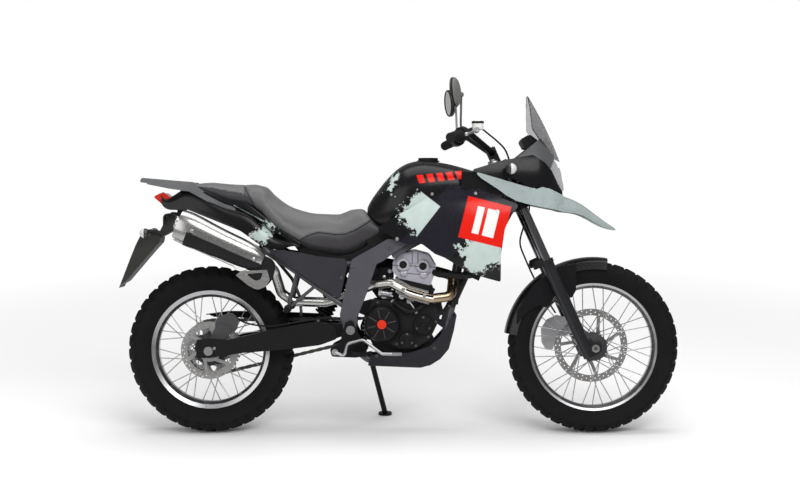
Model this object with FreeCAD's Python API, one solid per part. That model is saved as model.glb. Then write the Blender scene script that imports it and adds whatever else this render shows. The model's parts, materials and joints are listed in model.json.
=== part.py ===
import FreeCAD, Part
import functools
import math
import os

from FreeCAD import Placement, Rotation, Vector

# Dual sport motorcycle, modelled upright and then set down leaning on its side stand.
# Upright frame, in millimetres: X forwards from the rear axle, Y to the rider's left, Z up from the ground.

# Wheels and stance
WHEELBASE = 1475.0
FRONT_TYRE_R = 329.0
FRONT_TYRE_W = 110.0
FRONT_RIM_R = 254.0
REAR_TYRE_R = 320.0
REAR_TYRE_W = 130.0
REAR_RIM_R = 229.0
RIM_DEPTH = 27.0
SHOULDER_UP = 14.0
SHOULDER_SHARE = 0.99
LEAN_DEG = 10.0

# Steering
RAKE_DEG = 24.2
FORK_OFFSET = 30.0
AXLE_LEAD = 34.0
FORK_HALF_SPACING = 100.0
STANCHION_R = 19.0
SLIDER_R = 24.0
SLIDER_TOP = 385.0
STANCHION_TOP = 800.0
LOWER_CLAMP_S = 600.0
LOWER_CLAMP_H = 32.0
UPPER_CLAMP_S = 772.0
UPPER_CLAMP_H = 24.0
HEAD_TUBE_R = 31.0
HEAD_BORE_R = 22.0
STEM_R = 15.0
RUNNING_GAP = 0.05
MOVING_GAP = 5.0
SEAT_GAP = 0.3

# Handlebar, in the steering's own frame: forwards, sideways, up the steering axis
BAR_R = 11.0
BAR_CLAMP = Vector(14, 0, 842)
BAR_CLAMP_HALF = 62.0
BAR_BEND = Vector(-45, 175, 950)
BAR_END = Vector(-119, 398, 952)
BAR_BEND_R = 45.0
GRIP_R = 16.5
GRIP_LENGTH = 125.0

# Brakes, hubs and axles
FRONT_DISC_R = 143.0
FRONT_DISC_Y = 62.0
REAR_DISC_R = 110.0
REAR_DISC_Y = -78.0
DISC_T = 4.5
FRONT_AXLE_R = 9.0
REAR_AXLE_R = 10.0
SPOKE_R = 1.9
SPOKE_COUNT = 36

# Chain drive
CHAIN_Y = 80.0
CHAIN_PITCH = 15.875
REAR_TEETH = 42
FRONT_TEETH = 14
FRONT_SPROCKET = Vector(620, 0, 398)
CHAIN_HALF_H = 6.5
CHAIN_INNER_GAP = 9.6
CHAIN_PLATE_T = 2.0
SPROCKET_T = 8.0

# Swingarm and frame
PIVOT = Vector(541, 0, 400)
PIVOT_R = 10.0
ARM_INNER_Y = 98.0
ARM_OUTER_Y = 126.0
SPAR_T = 30.0
RAIL_R = 9.0

# Side stand, in the upright frame
STAND_PIVOT = Vector(612, 122, 282)
STAND_FORWARD = 58.0
STAND_SPREAD = 112.0
STAND_R = 10.5
STAND_FOOT_R = 27.0
STAND_FOOT_T = 7.0
STAND_BOSS_HALF = 12.0
STAND_PIN_R = 6.0
STAND_SIDE_GAP = 0.5

# Bodywork
PANEL_T = 4.0
WHEELS_Z = {"front": FRONT_TYRE_R, "rear": REAR_TYRE_R}

UP_Y = Vector(0, 1, 0)
REAR_AXLE = Vector(0, 0, REAR_TYRE_R)
FRONT_AXLE = Vector(WHEELBASE, 0, FRONT_TYRE_R)


# Helpers

RUN_SHARE = 0.48


def corner_arc(before, corner, after, radius):
    """Tangent points and middle point of an arc that rounds a corner, held to what the two runs allow."""
    run = min(before.distanceToPoint(corner), after.distanceToPoint(corner))
    a = (before - corner).normalize()
    b = (after - corner).normalize()
    half = a.getAngle(b) / 2
    radius = min(radius, RUN_SHARE * run * math.tan(half))
    reach = radius / math.tan(half)
    bisector = (a + b).normalize()
    middle = corner + bisector * (radius / math.sin(half) - radius)
    return corner + a * reach, middle, corner + b * reach


def rounded_wire(points, closed=True):
    """Straight runs with tangent arcs. Each point is (Vector, radius); a radius of 0 stays sharp."""
    count = len(points)
    stops = []
    for i, (p, r) in enumerate(points):
        inner = closed or 0 < i < count - 1
        if r > 0 and inner:
            stops.append(corner_arc(points[i - 1][0], p, points[(i + 1) % count][0], r))
        else:
            stops.append((p, None, p))
    edges = []
    for i, (start, middle, end) in enumerate(stops):
        if middle is not None:
            edges.append(Part.Arc(start, middle, end).toShape())
        if closed or i < count - 1:
            nxt = stops[(i + 1) % count][0]
            if end.distanceToPoint(nxt) > 1e-6:
                edges.append(Part.LineSegment(end, nxt).toShape())
    return Part.Wire(edges)


def side_wire(outline, y):
    """Closed wire in the plane of that y. An outline point is (x, z) or (x, z, corner radius)."""
    return rounded_wire([(Vector(p[0], y, p[1]), p[2] if len(p) > 2 else 0) for p in outline])


def slab(outline, y0, y1):
    """An outline in the side view, given thickness across the machine."""
    return Part.Face(side_wire(outline, y0)).extrude(Vector(0, y1 - y0, 0))


def rod(start, end, radius):
    """A plain round bar between two points."""
    along = end - start
    return Part.makeCylinder(radius, along.Length, start, along)


def tube(route, radius, bend):
    """A round bar bent along a route, with the same bend radius at each inner point."""
    path = rounded_wire([(p, bend) for p in route], closed=False)
    along = route[1] - route[0]
    ring = Part.Wire([Part.Circle(route[0], along, radius).toShape()])
    return path.makePipeShell([ring], True, True)


def turned(profile, centre, closed=True):
    """A ring or drum turned about an axis across the machine. Profile points are (radius, y)."""
    points = [Vector(centre.x + r, y, centre.z) for r, y in profile]
    face = Part.Face(Part.makePolygon(points + points[:1]))
    return face.revolve(Vector(centre.x, 0, centre.z), UP_Y, 360)


def drum(centre, radius, y0, y1):
    """A plain disc or drum across the machine."""
    return Part.makeCylinder(radius, y1 - y0, Vector(centre.x, y0, centre.z), UP_Y)


def mirrored(shape):
    """The same piece on the other side."""
    return shape.mirror(Vector(0, 0, 0), UP_Y)


def fused(first, *others):
    """Pieces that are made as one."""
    return first.multiFuse(list(others)).removeSplitter()


def largest(shape):
    """The main solid, without the chips that a cut may leave."""
    return max(shape.Solids, key=lambda solid: solid.Volume)


def pair(shape):
    """Left and right copies that don't touch each other."""
    return Part.makeCompound([shape, mirrored(shape)])


def steering_place():
    """Where the steering's own frame stands in the upright frame."""
    forward = Vector(math.cos(math.radians(RAKE_DEG)), 0, math.sin(math.radians(RAKE_DEG)))
    base = FRONT_AXLE - forward * (FORK_OFFSET + AXLE_LEAD)
    return Placement(base, Rotation(UP_Y, -RAKE_DEG))


def steered(shape):
    """A piece built in the steering's frame, put in the upright frame."""
    moved = shape.copy()
    moved.Placement = steering_place().multiply(shape.Placement)
    return moved


def oval_section(x, z_low, z_high, half_width, square, flat_base):
    """Closed cross-section at one station. square is 2 for an ellipse and more for a boxier form."""
    points = []
    middle = (z_low + z_high) / 2
    half_height = (z_high - z_low) / 2
    steps = 16
    for i in range(steps):
        t = 2 * math.pi * i / steps
        c, s = math.cos(t), math.sin(t)
        y = half_width * math.copysign(abs(c) ** (2 / square), c)
        z = middle + half_height * math.copysign(abs(s) ** (2 / square), s)
        points.append(Vector(x, y, z))
    curve = Part.BSplineCurve()
    curve.interpolate(points, PeriodicFlag=True)
    return Part.Wire([curve.toShape()])


def hull_body(stations, square=2.8):
    """A smooth closed body through stations of (x, low z, high z, half width)."""
    return Part.makeLoft([oval_section(*s, square, False) for s in stations], True, False)


def arch_section(x, z_low, z_high, half_width, square):
    """Half section that is open below: a smooth arch closed by one straight line."""
    points = []
    steps = 12
    for i in range(steps + 1):
        t = math.pi * i / steps
        c, s = math.cos(t), math.sin(t)
        y = half_width * math.copysign(abs(c) ** (2 / square), c)
        z = z_low + (z_high - z_low) * abs(s) ** (2 / square)
        points.append(Vector(x, y, z))
    curve = Part.BSplineCurve()
    curve.interpolate(points)
    return Part.Wire([curve.toShape(), Part.LineSegment(points[-1], points[0]).toShape()])


def arch_body(stations, square):
    """A smooth body with a flat underside, through stations of (x, low z, high z, half width)."""
    return Part.makeLoft([arch_section(*s, square) for s in stations], True, False)


def arch_shell(stations, wall, square, overrun=2.0):
    """A thin arched shell, open below, through stations of (x, low z, high z, half width)."""
    outer = arch_body(stations, square)
    inner_stations = [(x, lo - overrun, hi - wall, w - wall) for x, lo, hi, w in stations]
    return outer.cut(arch_body(inner_stations, square))


def skin_panel(outline, width, thickness):
    """A curved side panel: the outline seen from the side, on a skin whose half width is width(x, z)."""
    xs = [p[0] for p in outline]
    zs = [p[1] for p in outline]
    margin = 30.0
    columns, rows = 9, 7
    grid = []
    for i in range(columns):
        x = min(xs) - margin + (max(xs) - min(xs) + 2 * margin) * i / (columns - 1)
        line = []
        for j in range(rows):
            z = min(zs) - margin + (max(zs) - min(zs) + 2 * margin) * j / (rows - 1)
            line.append(Vector(x, width(x, z), z))
        grid.append(line)
    skin = Part.BSplineSurface()
    skin.interpolate(grid)
    sheet = skin.toShape().extrude(Vector(0, -thickness, 0))
    reach = 400.0
    return sheet.common(slab(outline, 0, reach))


def smooth_step(value, start, end):
    """0 before start, 1 after end, smooth between."""
    t = min(1.0, max(0.0, (value - start) / (end - start)))
    return t * t * (3 - 2 * t)


# Wheels

def tyre(centre, outer_r, width, rim_r):
    """Tyre with a round crown, grooves round it, and side walls that bulge over the rim."""
    half = width / 2
    bead_r = rim_r - RIM_DEPTH / 2 + SEAT_GAP
    bead_y = half * 0.55
    mid_r = (rim_r + outer_r) / 2
    shoulder_r = mid_r + SHOULDER_UP
    edge = half * SHOULDER_SHARE

    def at(r, y):
        return Vector(centre.x + r, y, centre.z)

    edges = [
        Part.LineSegment(at(bead_r, -bead_y), at(bead_r, bead_y)).toShape(),
        Part.Arc(at(bead_r, bead_y), at(mid_r - 8, edge * 0.98), at(shoulder_r, edge)).toShape(),
        Part.Arc(at(shoulder_r, edge), at(outer_r, 0), at(shoulder_r, -edge)).toShape(),
        Part.Arc(at(shoulder_r, -edge), at(mid_r - 8, -edge * 0.98), at(bead_r, -bead_y)).toShape(),
    ]
    carcass = Part.Face(Part.Wire(edges)).revolve(Vector(centre.x, 0, centre.z), UP_Y, 360)
    grooves = []
    for share in (-0.3, 0.3):
        y = half * share
        grooves.append(turned([(outer_r - 8, y - 2.5), (outer_r + 5, y - 3.5), (outer_r + 5, y + 3.5),
                               (outer_r - 8, y + 2.5)], centre))
    return carcass.cut(Part.makeCompound(grooves))


def spoked_wheel(centre, rim_r, rim_half, flange_r, flange_y, hub_r, hub_half, bore_r):
    """Hub, laced spokes and rim, made as one piece."""
    bed_r = rim_r - RIM_DEPTH / 2
    inner_r = rim_r - RIM_DEPTH
    rim = turned([
        (inner_r, -rim_half * 0.45), (inner_r, rim_half * 0.45), (bed_r - 3, rim_half * 0.86),
        (rim_r - 1, rim_half), (rim_r - 1, rim_half - 3.5), (bed_r, rim_half - 8),
        (bed_r, -rim_half + 8), (rim_r - 1, -rim_half + 3.5), (rim_r - 1, -rim_half),
        (bed_r - 3, -rim_half * 0.86),
    ], centre)
    flange_t = 5.5
    hub = turned([
        (bore_r, -hub_half), (hub_r * 0.75, -hub_half), (hub_r, -flange_y - flange_t - 4),
        (flange_r + 6, -flange_y - flange_t), (flange_r + 6, -flange_y + flange_t), (hub_r, -flange_y + flange_t + 6),
        (hub_r, flange_y - flange_t - 6), (flange_r + 6, flange_y - flange_t), (flange_r + 6, flange_y + flange_t),
        (hub_r, flange_y + flange_t + 4), (hub_r * 0.75, hub_half), (bore_r, hub_half),
    ], centre)
    spokes = []
    lacing = 48.0
    head_step = 4.2
    for i in range(SPOKE_COUNT):
        side = 1 if i % 2 else -1
        lead = 1 if (i // 2) % 2 else -1
        rim_angle = math.radians(360.0 * i / SPOKE_COUNT)
        hub_angle = rim_angle + math.radians(lacing) * lead
        hub_y = side * (flange_y + head_step * lead * 0.5)
        start = centre + Vector(flange_r * math.cos(hub_angle), hub_y, flange_r * math.sin(hub_angle))
        stop_r = inner_r + 3
        end = centre + Vector(stop_r * math.cos(rim_angle), side * 5, stop_r * math.sin(rim_angle))
        spokes.append(rod(start, end, SPOKE_R))
    return hub.multiFuse([rim] + spokes)


def brake_disc(centre, radius, y, carrier_r, arms):
    """Brake disc with a drilled ring, held by swept arms on a carrier."""
    ring_w = 26.0
    ring = drum(centre, radius, y - DISC_T / 2, y + DISC_T / 2)
    ring = ring.cut(drum(centre, radius - ring_w, y - DISC_T, y + DISC_T))
    carrier = drum(centre, carrier_r, y - DISC_T / 2, y + DISC_T / 2)
    carrier = carrier.cut(drum(centre, carrier_r - 14, y - DISC_T, y + DISC_T))
    pieces = [carrier]
    for i in range(arms):
        a = 2 * math.pi * i / arms
        b = a + math.radians(24)
        start = centre + Vector((carrier_r - 5) * math.cos(a), y, (carrier_r - 5) * math.sin(a))
        reach = radius - ring_w + 6
        end = centre + Vector(reach * math.cos(b), y, reach * math.sin(b))
        pieces.append(flat_bar(start, end, 13, DISC_T))
    holes = []
    rows = ((radius - 6, 24, 0.0), (radius - 13, 24, 7.5), (radius - 20, 24, 0.0))
    for r, count, turn in rows:
        for i in range(count):
            a = math.radians(360.0 * i / count + turn)
            spot = centre + Vector(r * math.cos(a), 0, r * math.sin(a))
            holes.append(drum(spot, 2.6, y - DISC_T, y + DISC_T))
    return ring.multiFuse(pieces).cut(Part.makeCompound(holes)).removeSplitter()


def flat_bar(start, end, width, thickness):
    """A flat strip in a plane of constant y between two points."""
    along = end - start
    across = Vector(-along.z, 0, along.x).normalize() * (width / 2)
    lift = Vector(0, -thickness / 2, 0)
    corners = [start + across + lift, end + across + lift, end - across + lift, start - across + lift]
    return Part.Face(Part.makePolygon(corners + corners[:1])).extrude(Vector(0, thickness, 0))


def front_wheel_nodes():
    rim_half = 36.0
    flange_y = 34.0
    wheel = spoked_wheel(FRONT_AXLE, FRONT_RIM_R, rim_half, 47.0, flange_y, 33.0, 52.0,
                         FRONT_AXLE_R + RUNNING_GAP)
    carrier_y = FRONT_DISC_Y - DISC_T / 2
    boss = drum(FRONT_AXLE, 46.0, flange_y + 3, carrier_y).cut(drum(FRONT_AXLE, 25.0, 0, carrier_y + 5))
    wheel = wheel.fuse(boss)
    disc = brake_disc(FRONT_AXLE, FRONT_DISC_R, FRONT_DISC_Y, 46.0, 7)
    return {
        "front_wheel": wheel,
        "front_disc": disc,
        "front_tyre": tyre(FRONT_AXLE, FRONT_TYRE_R, FRONT_TYRE_W, FRONT_RIM_R).cut(wheel),
    }


def rear_wheel_nodes():
    rim_half = 44.0
    flange_y = 36.0
    wheel = spoked_wheel(REAR_AXLE, REAR_RIM_R, rim_half, 56.0, flange_y, 40.0, 62.0,
                         REAR_AXLE_R + RUNNING_GAP)
    disc_face = REAR_DISC_Y + DISC_T / 2
    disc_boss = drum(REAR_AXLE, 44.0, disc_face, -flange_y).cut(drum(REAR_AXLE, 25.0, disc_face - 5, 0))
    sprocket_face = CHAIN_Y - SPROCKET_T / 2
    drive_boss = drum(REAR_AXLE, 58.0, flange_y, sprocket_face).cut(drum(REAR_AXLE, 30.0, 0, sprocket_face + 5))
    wheel = wheel.multiFuse([disc_boss, drive_boss])
    disc = brake_disc(REAR_AXLE, REAR_DISC_R, REAR_DISC_Y, 44.0, 6)
    return {
        "rear_wheel": wheel,
        "rear_disc": disc,
        "rear_tyre": tyre(REAR_AXLE, REAR_TYRE_R, REAR_TYRE_W, REAR_RIM_R).cut(wheel),
        "rear_sprocket": sprocket(REAR_AXLE, REAR_TEETH, 30.0, 58.0),
    }


# Chain drive

def pitch_radius(teeth):
    return CHAIN_PITCH / (2 * math.sin(math.pi / teeth))


def sprocket(centre, teeth, bore_r, web_r):
    """Toothed wheel with round lightening holes."""
    root_r = pitch_radius(teeth) - 5.0
    tip_r = pitch_radius(teeth) + 3.5
    thick = SPROCKET_T
    points = []
    for i in range(teeth):
        for share, r in ((0.0, root_r), (0.3, root_r), (0.45, tip_r), (0.8, tip_r)):
            a = 2 * math.pi * (i + share) / teeth
            points.append((centre.x + r * math.cos(a), centre.z + r * math.sin(a)))
    body = slab(points, CHAIN_Y - thick / 2, CHAIN_Y + thick / 2)
    cuts = [drum(centre, bore_r, 0, 200)]
    hole_ring = (web_r + root_r) / 2
    hole_r = (root_r - web_r) * 0.3
    if hole_r > 5:
        for i in range(8):
            a = 2 * math.pi * i / 8
            spot = centre + Vector(hole_ring * math.cos(a), 0, hole_ring * math.sin(a))
            cuts.append(drum(spot, hole_r, 0, 200))
    return body.cut(Part.makeCompound(cuts))


def front_sprocket():
    """Engine sprocket on its shaft."""
    shaft = drum(FRONT_SPROCKET, 14, CASE_LEFT + SEAT_GAP, CHAIN_Y + SPROCKET_T / 2 + 4)
    return sprocket(FRONT_SPROCKET, FRONT_TEETH, 13.0, 20.0).fuse(shaft)


def chain_path():
    """Tangent points of the open belt round both sprockets, and the run's angle."""
    r_rear = pitch_radius(REAR_TEETH)
    r_front = pitch_radius(FRONT_TEETH)
    line = FRONT_SPROCKET - REAR_AXLE
    span = math.hypot(line.x, line.z)
    tilt = math.atan2(line.z, line.x)
    spread = math.acos((r_rear - r_front) / span)
    return r_rear, r_front, tilt, spread


def belt_band(offset, y0, y1):
    """A closed loop round both sprockets, as thick as twice the chain's half height."""
    r_rear, r_front, tilt, spread = chain_path()
    wires = []
    for r_a, r_b in ((r_rear + offset, r_front + offset), (r_rear - offset, r_front - offset)):
        ends = []
        for sign in (1, -1):
            a = tilt + sign * spread
            unit = Vector(math.cos(a), 0, math.sin(a))
            ends.append((REAR_AXLE + unit * r_a, FRONT_SPROCKET + unit * r_b))
        back = REAR_AXLE - Vector(math.cos(tilt), 0, math.sin(tilt)) * r_a
        fore = FRONT_SPROCKET + Vector(math.cos(tilt), 0, math.sin(tilt)) * r_b
        edges = [
            Part.LineSegment(ends[0][0], ends[0][1]).toShape(),
            Part.Arc(ends[0][1], fore, ends[1][1]).toShape(),
            Part.LineSegment(ends[1][1], ends[1][0]).toShape(),
            Part.Arc(ends[1][0], back, ends[0][0]).toShape(),
        ]
        wire = Part.Wire(edges)
        wire.translate(Vector(0, y0, 0))
        wires.append(wire)
    outer = Part.Face(wires[0]).extrude(Vector(0, y1 - y0, 0))
    return outer.cut(Part.Face(wires[1]).extrude(Vector(0, y1 - y0, 0)))


def chain():
    """Roller chain as one fixed loop: inner plates as bands, outer plates as links, rollers on the free runs."""
    inner = CHAIN_INNER_GAP / 2
    mid = inner + CHAIN_PLATE_T
    outer = mid + CHAIN_PLATE_T
    band_h = CHAIN_HALF_H - 1.0
    bands = [
        belt_band(band_h, CHAIN_Y + inner, CHAIN_Y + mid),
        belt_band(band_h, CHAIN_Y - mid, CHAIN_Y - inner),
    ]
    r_rear, r_front, tilt, spread = chain_path()
    links, rollers = [], []
    for place, straight in link_places(r_rear, r_front, tilt, spread):
        for y0, y1 in ((CHAIN_Y + mid, CHAIN_Y + outer), (CHAIN_Y - outer, CHAIN_Y - mid)):
            links.append(link_plate(place, y0, y1))
        if straight:
            pin = place.multVec(Vector(CHAIN_PITCH / 2, 0, 0))
            rollers.append(drum(pin, 5.0, CHAIN_Y - inner, CHAIN_Y + inner))
    return bands[0].multiFuse([bands[1]] + links + rollers)


def link_places(r_rear, r_front, tilt, spread):
    """Places of every second link along the loop, and whether each lies on a free run."""
    line = FRONT_SPROCKET - REAR_AXLE
    span = math.hypot(line.x, line.z)
    run = span * math.sin(spread)
    rear_wrap = 2 * (math.pi - spread)
    front_wrap = 2 * spread
    total = 2 * run + rear_wrap * r_rear + front_wrap * r_front
    count = int(round(total / (2 * CHAIN_PITCH)))
    for i in range(count):
        s = total * i / count
        if s < run:
            a = tilt + spread
            unit = Vector(math.cos(a), 0, math.sin(a))
            start = REAR_AXLE + unit * r_rear
            along = (FRONT_SPROCKET + unit * r_front) - start
            spot = start + along.normalize() * s
            heading = math.atan2(along.z, along.x)
        elif s < run + front_wrap * r_front:
            a = tilt + spread - (s - run) / r_front
            spot = FRONT_SPROCKET + Vector(math.cos(a), 0, math.sin(a)) * r_front
            heading = a - math.pi / 2
        elif s < 2 * run + front_wrap * r_front:
            a = tilt - spread
            unit = Vector(math.cos(a), 0, math.sin(a))
            start = FRONT_SPROCKET + unit * r_front
            along = (REAR_AXLE + unit * r_rear) - start
            spot = start + along.normalize() * (s - run - front_wrap * r_front)
            heading = math.atan2(along.z, along.x)
        else:
            a = tilt - spread - (s - 2 * run - front_wrap * r_front) / r_rear
            spot = REAR_AXLE + Vector(math.cos(a), 0, math.sin(a)) * r_rear
            heading = a - math.pi / 2
        straight = margin_run(s, run, front_wrap * r_front)
        yield Placement(spot, Rotation(UP_Y, -math.degrees(heading))), straight


def margin_run(s, run, wrap):
    """True well inside a free run, clear of both sprockets' teeth."""
    margin = 3 * CHAIN_PITCH
    for start in (0.0, run + wrap):
        if start + margin < s < start + run - margin:
            return True
    return False


def link_plate(place, y0, y1):
    """One outer link plate: a long octagon."""
    half = CHAIN_PITCH / 2 + 5.0
    tall = CHAIN_HALF_H
    cut = 4.0
    outline = [(-half, -tall + cut), (-half + cut, -tall), (half - cut, -tall), (half, -tall + cut),
               (half, tall - cut), (half - cut, tall), (-half + cut, tall), (-half, tall - cut)]
    plate = slab(outline, y0, y1)
    plate.Placement = place
    return plate


# Steering, built in its own frame: X forwards, Z up the steering axis

def fork_nodes():
    legs, tubes = [], []
    axle_f = FORK_OFFSET + AXLE_LEAD
    for side in (-1, 1):
        y = side * FORK_HALF_SPACING
        foot = Vector(FORK_OFFSET, y, -22)
        slider = Part.makeCone(SLIDER_R - 2, SLIDER_R, 120, foot, Vector(0, 0, 1))
        sleeve = Part.makeCylinder(SLIDER_R, SLIDER_TOP - 98 - 14, Vector(FORK_OFFSET, y, 98), Vector(0, 0, 1))
        collar = Part.makeCylinder(SLIDER_R + 3, 14, Vector(FORK_OFFSET, y, SLIDER_TOP - 14), Vector(0, 0, 1))
        lug_y0 = y - 18 if side > 0 else y - 16
        lug = Part.makeCylinder(24, 34, Vector(axle_f, lug_y0, 0), UP_Y)
        web = Part.makeBox(axle_f - FORK_OFFSET, 26, 60, Vector(FORK_OFFSET, y - 13, -18))
        boss = rod(Vector(FORK_OFFSET, side * (FENDER_HALF + SEAT_GAP), 318), Vector(FORK_OFFSET, y, 318), 8)
        boss_low = rod(Vector(FORK_OFFSET, side * (FENDER_HALF + SEAT_GAP), 268), Vector(FORK_OFFSET, y, 268), 8)
        leg = fused(slider, sleeve, collar, lug, web, boss, boss_low)
        legs.append(leg.cut(Part.makeCylinder(FRONT_AXLE_R + RUNNING_GAP, 80, Vector(axle_f, y - 40, 0), UP_Y)))
        tubes.append(Part.makeCylinder(STANCHION_R, STANCHION_TOP - SLIDER_TOP,
                                       Vector(FORK_OFFSET, y, SLIDER_TOP), Vector(0, 0, 1)))
    return Part.makeCompound(legs), Part.makeCompound(tubes)


FENDER_HALF = 68.0


def clamp_plate(s0, height, ear_r, centre_r):
    """One triple clamp: two ears that grip the tubes, and a centre round the stem."""
    ears = [Part.makeCylinder(ear_r, height, Vector(FORK_OFFSET, side * FORK_HALF_SPACING, s0), Vector(0, 0, 1))
            for side in (-1, 1)]
    centre = Part.makeCylinder(centre_r, height, Vector(0, 0, s0), Vector(0, 0, 1))
    half = FORK_HALF_SPACING
    plan = [(Vector(-centre_r * 0.7, -30, s0), 0), (Vector(FORK_OFFSET - 16, -half, s0), 0),
            (Vector(FORK_OFFSET + 18, -half, s0), 0), (Vector(centre_r + 6, 0, s0), 30),
            (Vector(FORK_OFFSET + 18, half, s0), 0), (Vector(FORK_OFFSET - 16, half, s0), 0),
            (Vector(-centre_r * 0.7, 30, s0), 0)]
    web = Part.Face(rounded_wire(plan)).extrude(Vector(0, 0, height))
    plate = fused(centre, web, *ears)
    bores = [Part.makeCylinder(STANCHION_R + SEAT_GAP / 3, height + 2,
                               Vector(FORK_OFFSET, side * half, s0 - 1), Vector(0, 0, 1)) for side in (-1, 1)]
    return plate.cut(Part.makeCompound(bores))


def triple_clamps():
    """Both clamps on the stem, and the risers that hold the handlebar."""
    lower = clamp_plate(LOWER_CLAMP_S, LOWER_CLAMP_H, STANCHION_R + 11, 34)
    upper = clamp_plate(UPPER_CLAMP_S, UPPER_CLAMP_H, STANCHION_R + 9, 32)
    stem_top = UPPER_CLAMP_S + UPPER_CLAMP_H
    stem = Part.makeCylinder(STEM_R, stem_top - LOWER_CLAMP_S, Vector(0, 0, LOWER_CLAMP_S), Vector(0, 0, 1))
    nut = Part.makeCylinder(15, 9, Vector(0, 0, stem_top), Vector(0, 0, 1))
    races = []
    for s in (head_low() + 2, head_high() - 16):
        races.append(Part.makeCylinder(HEAD_BORE_R - RUNNING_GAP, 14, Vector(0, 0, s), Vector(0, 0, 1)))
    risers = []
    for side in (-1, 1):
        y = side * 42.0
        post = Part.makeBox(34, 26, BAR_CLAMP.z - stem_top + 20, Vector(BAR_CLAMP.x - 17, y - 13, stem_top - 1))
        risers.append(post)
    body = fused(lower, upper, stem, nut, *(races + risers))
    return body.cut(bar_room())


def head_low():
    return LOWER_CLAMP_S + LOWER_CLAMP_H + MOVING_GAP


def head_high():
    return UPPER_CLAMP_S - MOVING_GAP


def bar_half(side):
    return [Vector(BAR_CLAMP.x, side * BAR_CLAMP_HALF, BAR_CLAMP.z),
            Vector(BAR_BEND.x, side * BAR_BEND.y, BAR_BEND.z),
            Vector(BAR_END.x, side * BAR_END.y, BAR_END.z)]


def handlebar():
    return tube(bar_half(-1)[::-1] + bar_half(1), BAR_R, BAR_BEND_R)


@functools.cache
def bar_room():
    """The handlebar grown by the clearance of what is clamped on it."""
    return tube(bar_half(-1)[::-1] + bar_half(1), BAR_R + SEAT_GAP / 3, BAR_BEND_R)


def bar_axis(side):
    """Unit vector from the bend out to the bar's end."""
    bend, end = bar_half(side)[1:]
    return (end - bend).normalize()


def bar_point(side, back):
    """Point on the straight outer stretch, measured in from the bar's end."""
    return bar_half(side)[2] - bar_axis(side) * back


def grips():
    pieces = []
    for side in (-1, 1):
        out = bar_axis(side)
        start = bar_point(side, GRIP_LENGTH)
        sleeve = Part.makeCylinder(GRIP_R, GRIP_LENGTH + 2, start, out)
        flange = Part.makeCylinder(GRIP_R + 9, 5, start, out)
        weight = Part.makeCylinder(18, 16, bar_point(side, -2), out)
        body = fused(sleeve, flange, weight)
        pieces.append(body.cut(Part.makeCylinder(BAR_R + SEAT_GAP / 3, GRIP_LENGTH + 0.3, start - out * 0.2, out)))
    return Part.makeCompound(pieces)


def hand_controls():
    """Switch housings, lever perches, levers and the brake fluid reservoir."""
    pieces = []
    for side in (-1, 1):
        out = bar_axis(side)
        housing = Part.makeCylinder(25, 36, bar_point(side, GRIP_LENGTH + 38), out)
        perch_at = bar_point(side, GRIP_LENGTH + 62)
        perch = Part.makeCylinder(18, 22, perch_at, out)
        knuckle = perch_at + out * 8 + Vector(34, 0, -4)
        arm = rod(perch_at + out * 8, knuckle, 8)
        tip = bar_point(side, 6) + Vector(52, 0, -12)
        middle = bar_point(side, 75) + Vector(58, 0, -12)
        lever = tube([knuckle, middle, tip], 5.5, 30)
        ball = Part.makeSphere(8, tip)
        body = fused(housing, perch, arm, lever, ball)
        if side < 0:
            tank_at = perch_at + Vector(36, 0, 26)
            pot = Part.makeBox(40, 46, 34, Vector(-20, -23, -12))
            pot.Placement = Placement(tank_at, Rotation(Vector(0, 0, 1), 0)).multiply(pot.Placement)
            body = fused(body, pot, rod(perch_at + out * 8, tank_at, 11))
        pieces.append(body.cut(bar_room()))
    return Part.makeCompound(pieces)


def mirrors():
    pieces = []
    for side in (-1, 1):
        root = bar_point(side, GRIP_LENGTH + 50) + Vector(0, 0, 18.3)
        knee = root + Vector(2, 0, 16)
        head = Vector(-62, side * 345, 1110)
        stalk = tube([root, knee, head + Vector(22, -side * 20, -22)], 5, 10)
        joint = Part.makeSphere(11, head + Vector(18, -side * 16, -18))
        shell = mirror_head(side)
        shell.translate(head)
        pieces.append(fused(stalk, joint, shell))
    return Part.makeCompound(pieces)


def mirror_head(side):
    """Round-cornered shell with a flat glass face to the rear, turned a little towards the rider."""
    profile = [(0, 0, 0), (64, 0, 8), (64, 16, 12), (30, 26, 20), (0, 28, 0)]
    wire = rounded_wire([(Vector(b, 0, a), r) for a, b, r in profile])
    dish = Part.Face(wire).revolve(Vector(0, 0, 0), Vector(1, 0, 0), 360)
    squeeze = FreeCAD.Matrix()
    squeeze.scale(1, 1.12, 0.86)
    dish = dish.transformGeometry(squeeze)
    dish.Placement = Placement(Vector(0, 0, 0), Rotation(Vector(0, 0, 1), side * 12)).multiply(
        Placement(Vector(0, 0, 0), Rotation(UP_Y, RAKE_DEG - 6)))
    return dish


def front_axle():
    axle_f = FORK_OFFSET + AXLE_LEAD
    half = FORK_HALF_SPACING + 24
    pin = Part.makeCylinder(FRONT_AXLE_R, 2 * half, Vector(axle_f, -half, 0), UP_Y)
    head = Part.makeCylinder(15, 8, Vector(axle_f, -half, 0), UP_Y)
    nut = Part.makeCylinder(14, 8, Vector(axle_f, half - 8, 0), UP_Y)
    return fused(pin, head, nut).cut(Part.makeCylinder(AXLE_BORE_R, 2 * half + 20, Vector(axle_f, -half - 10, 0), UP_Y))


AXLE_BORE_R = 6.0


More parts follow.
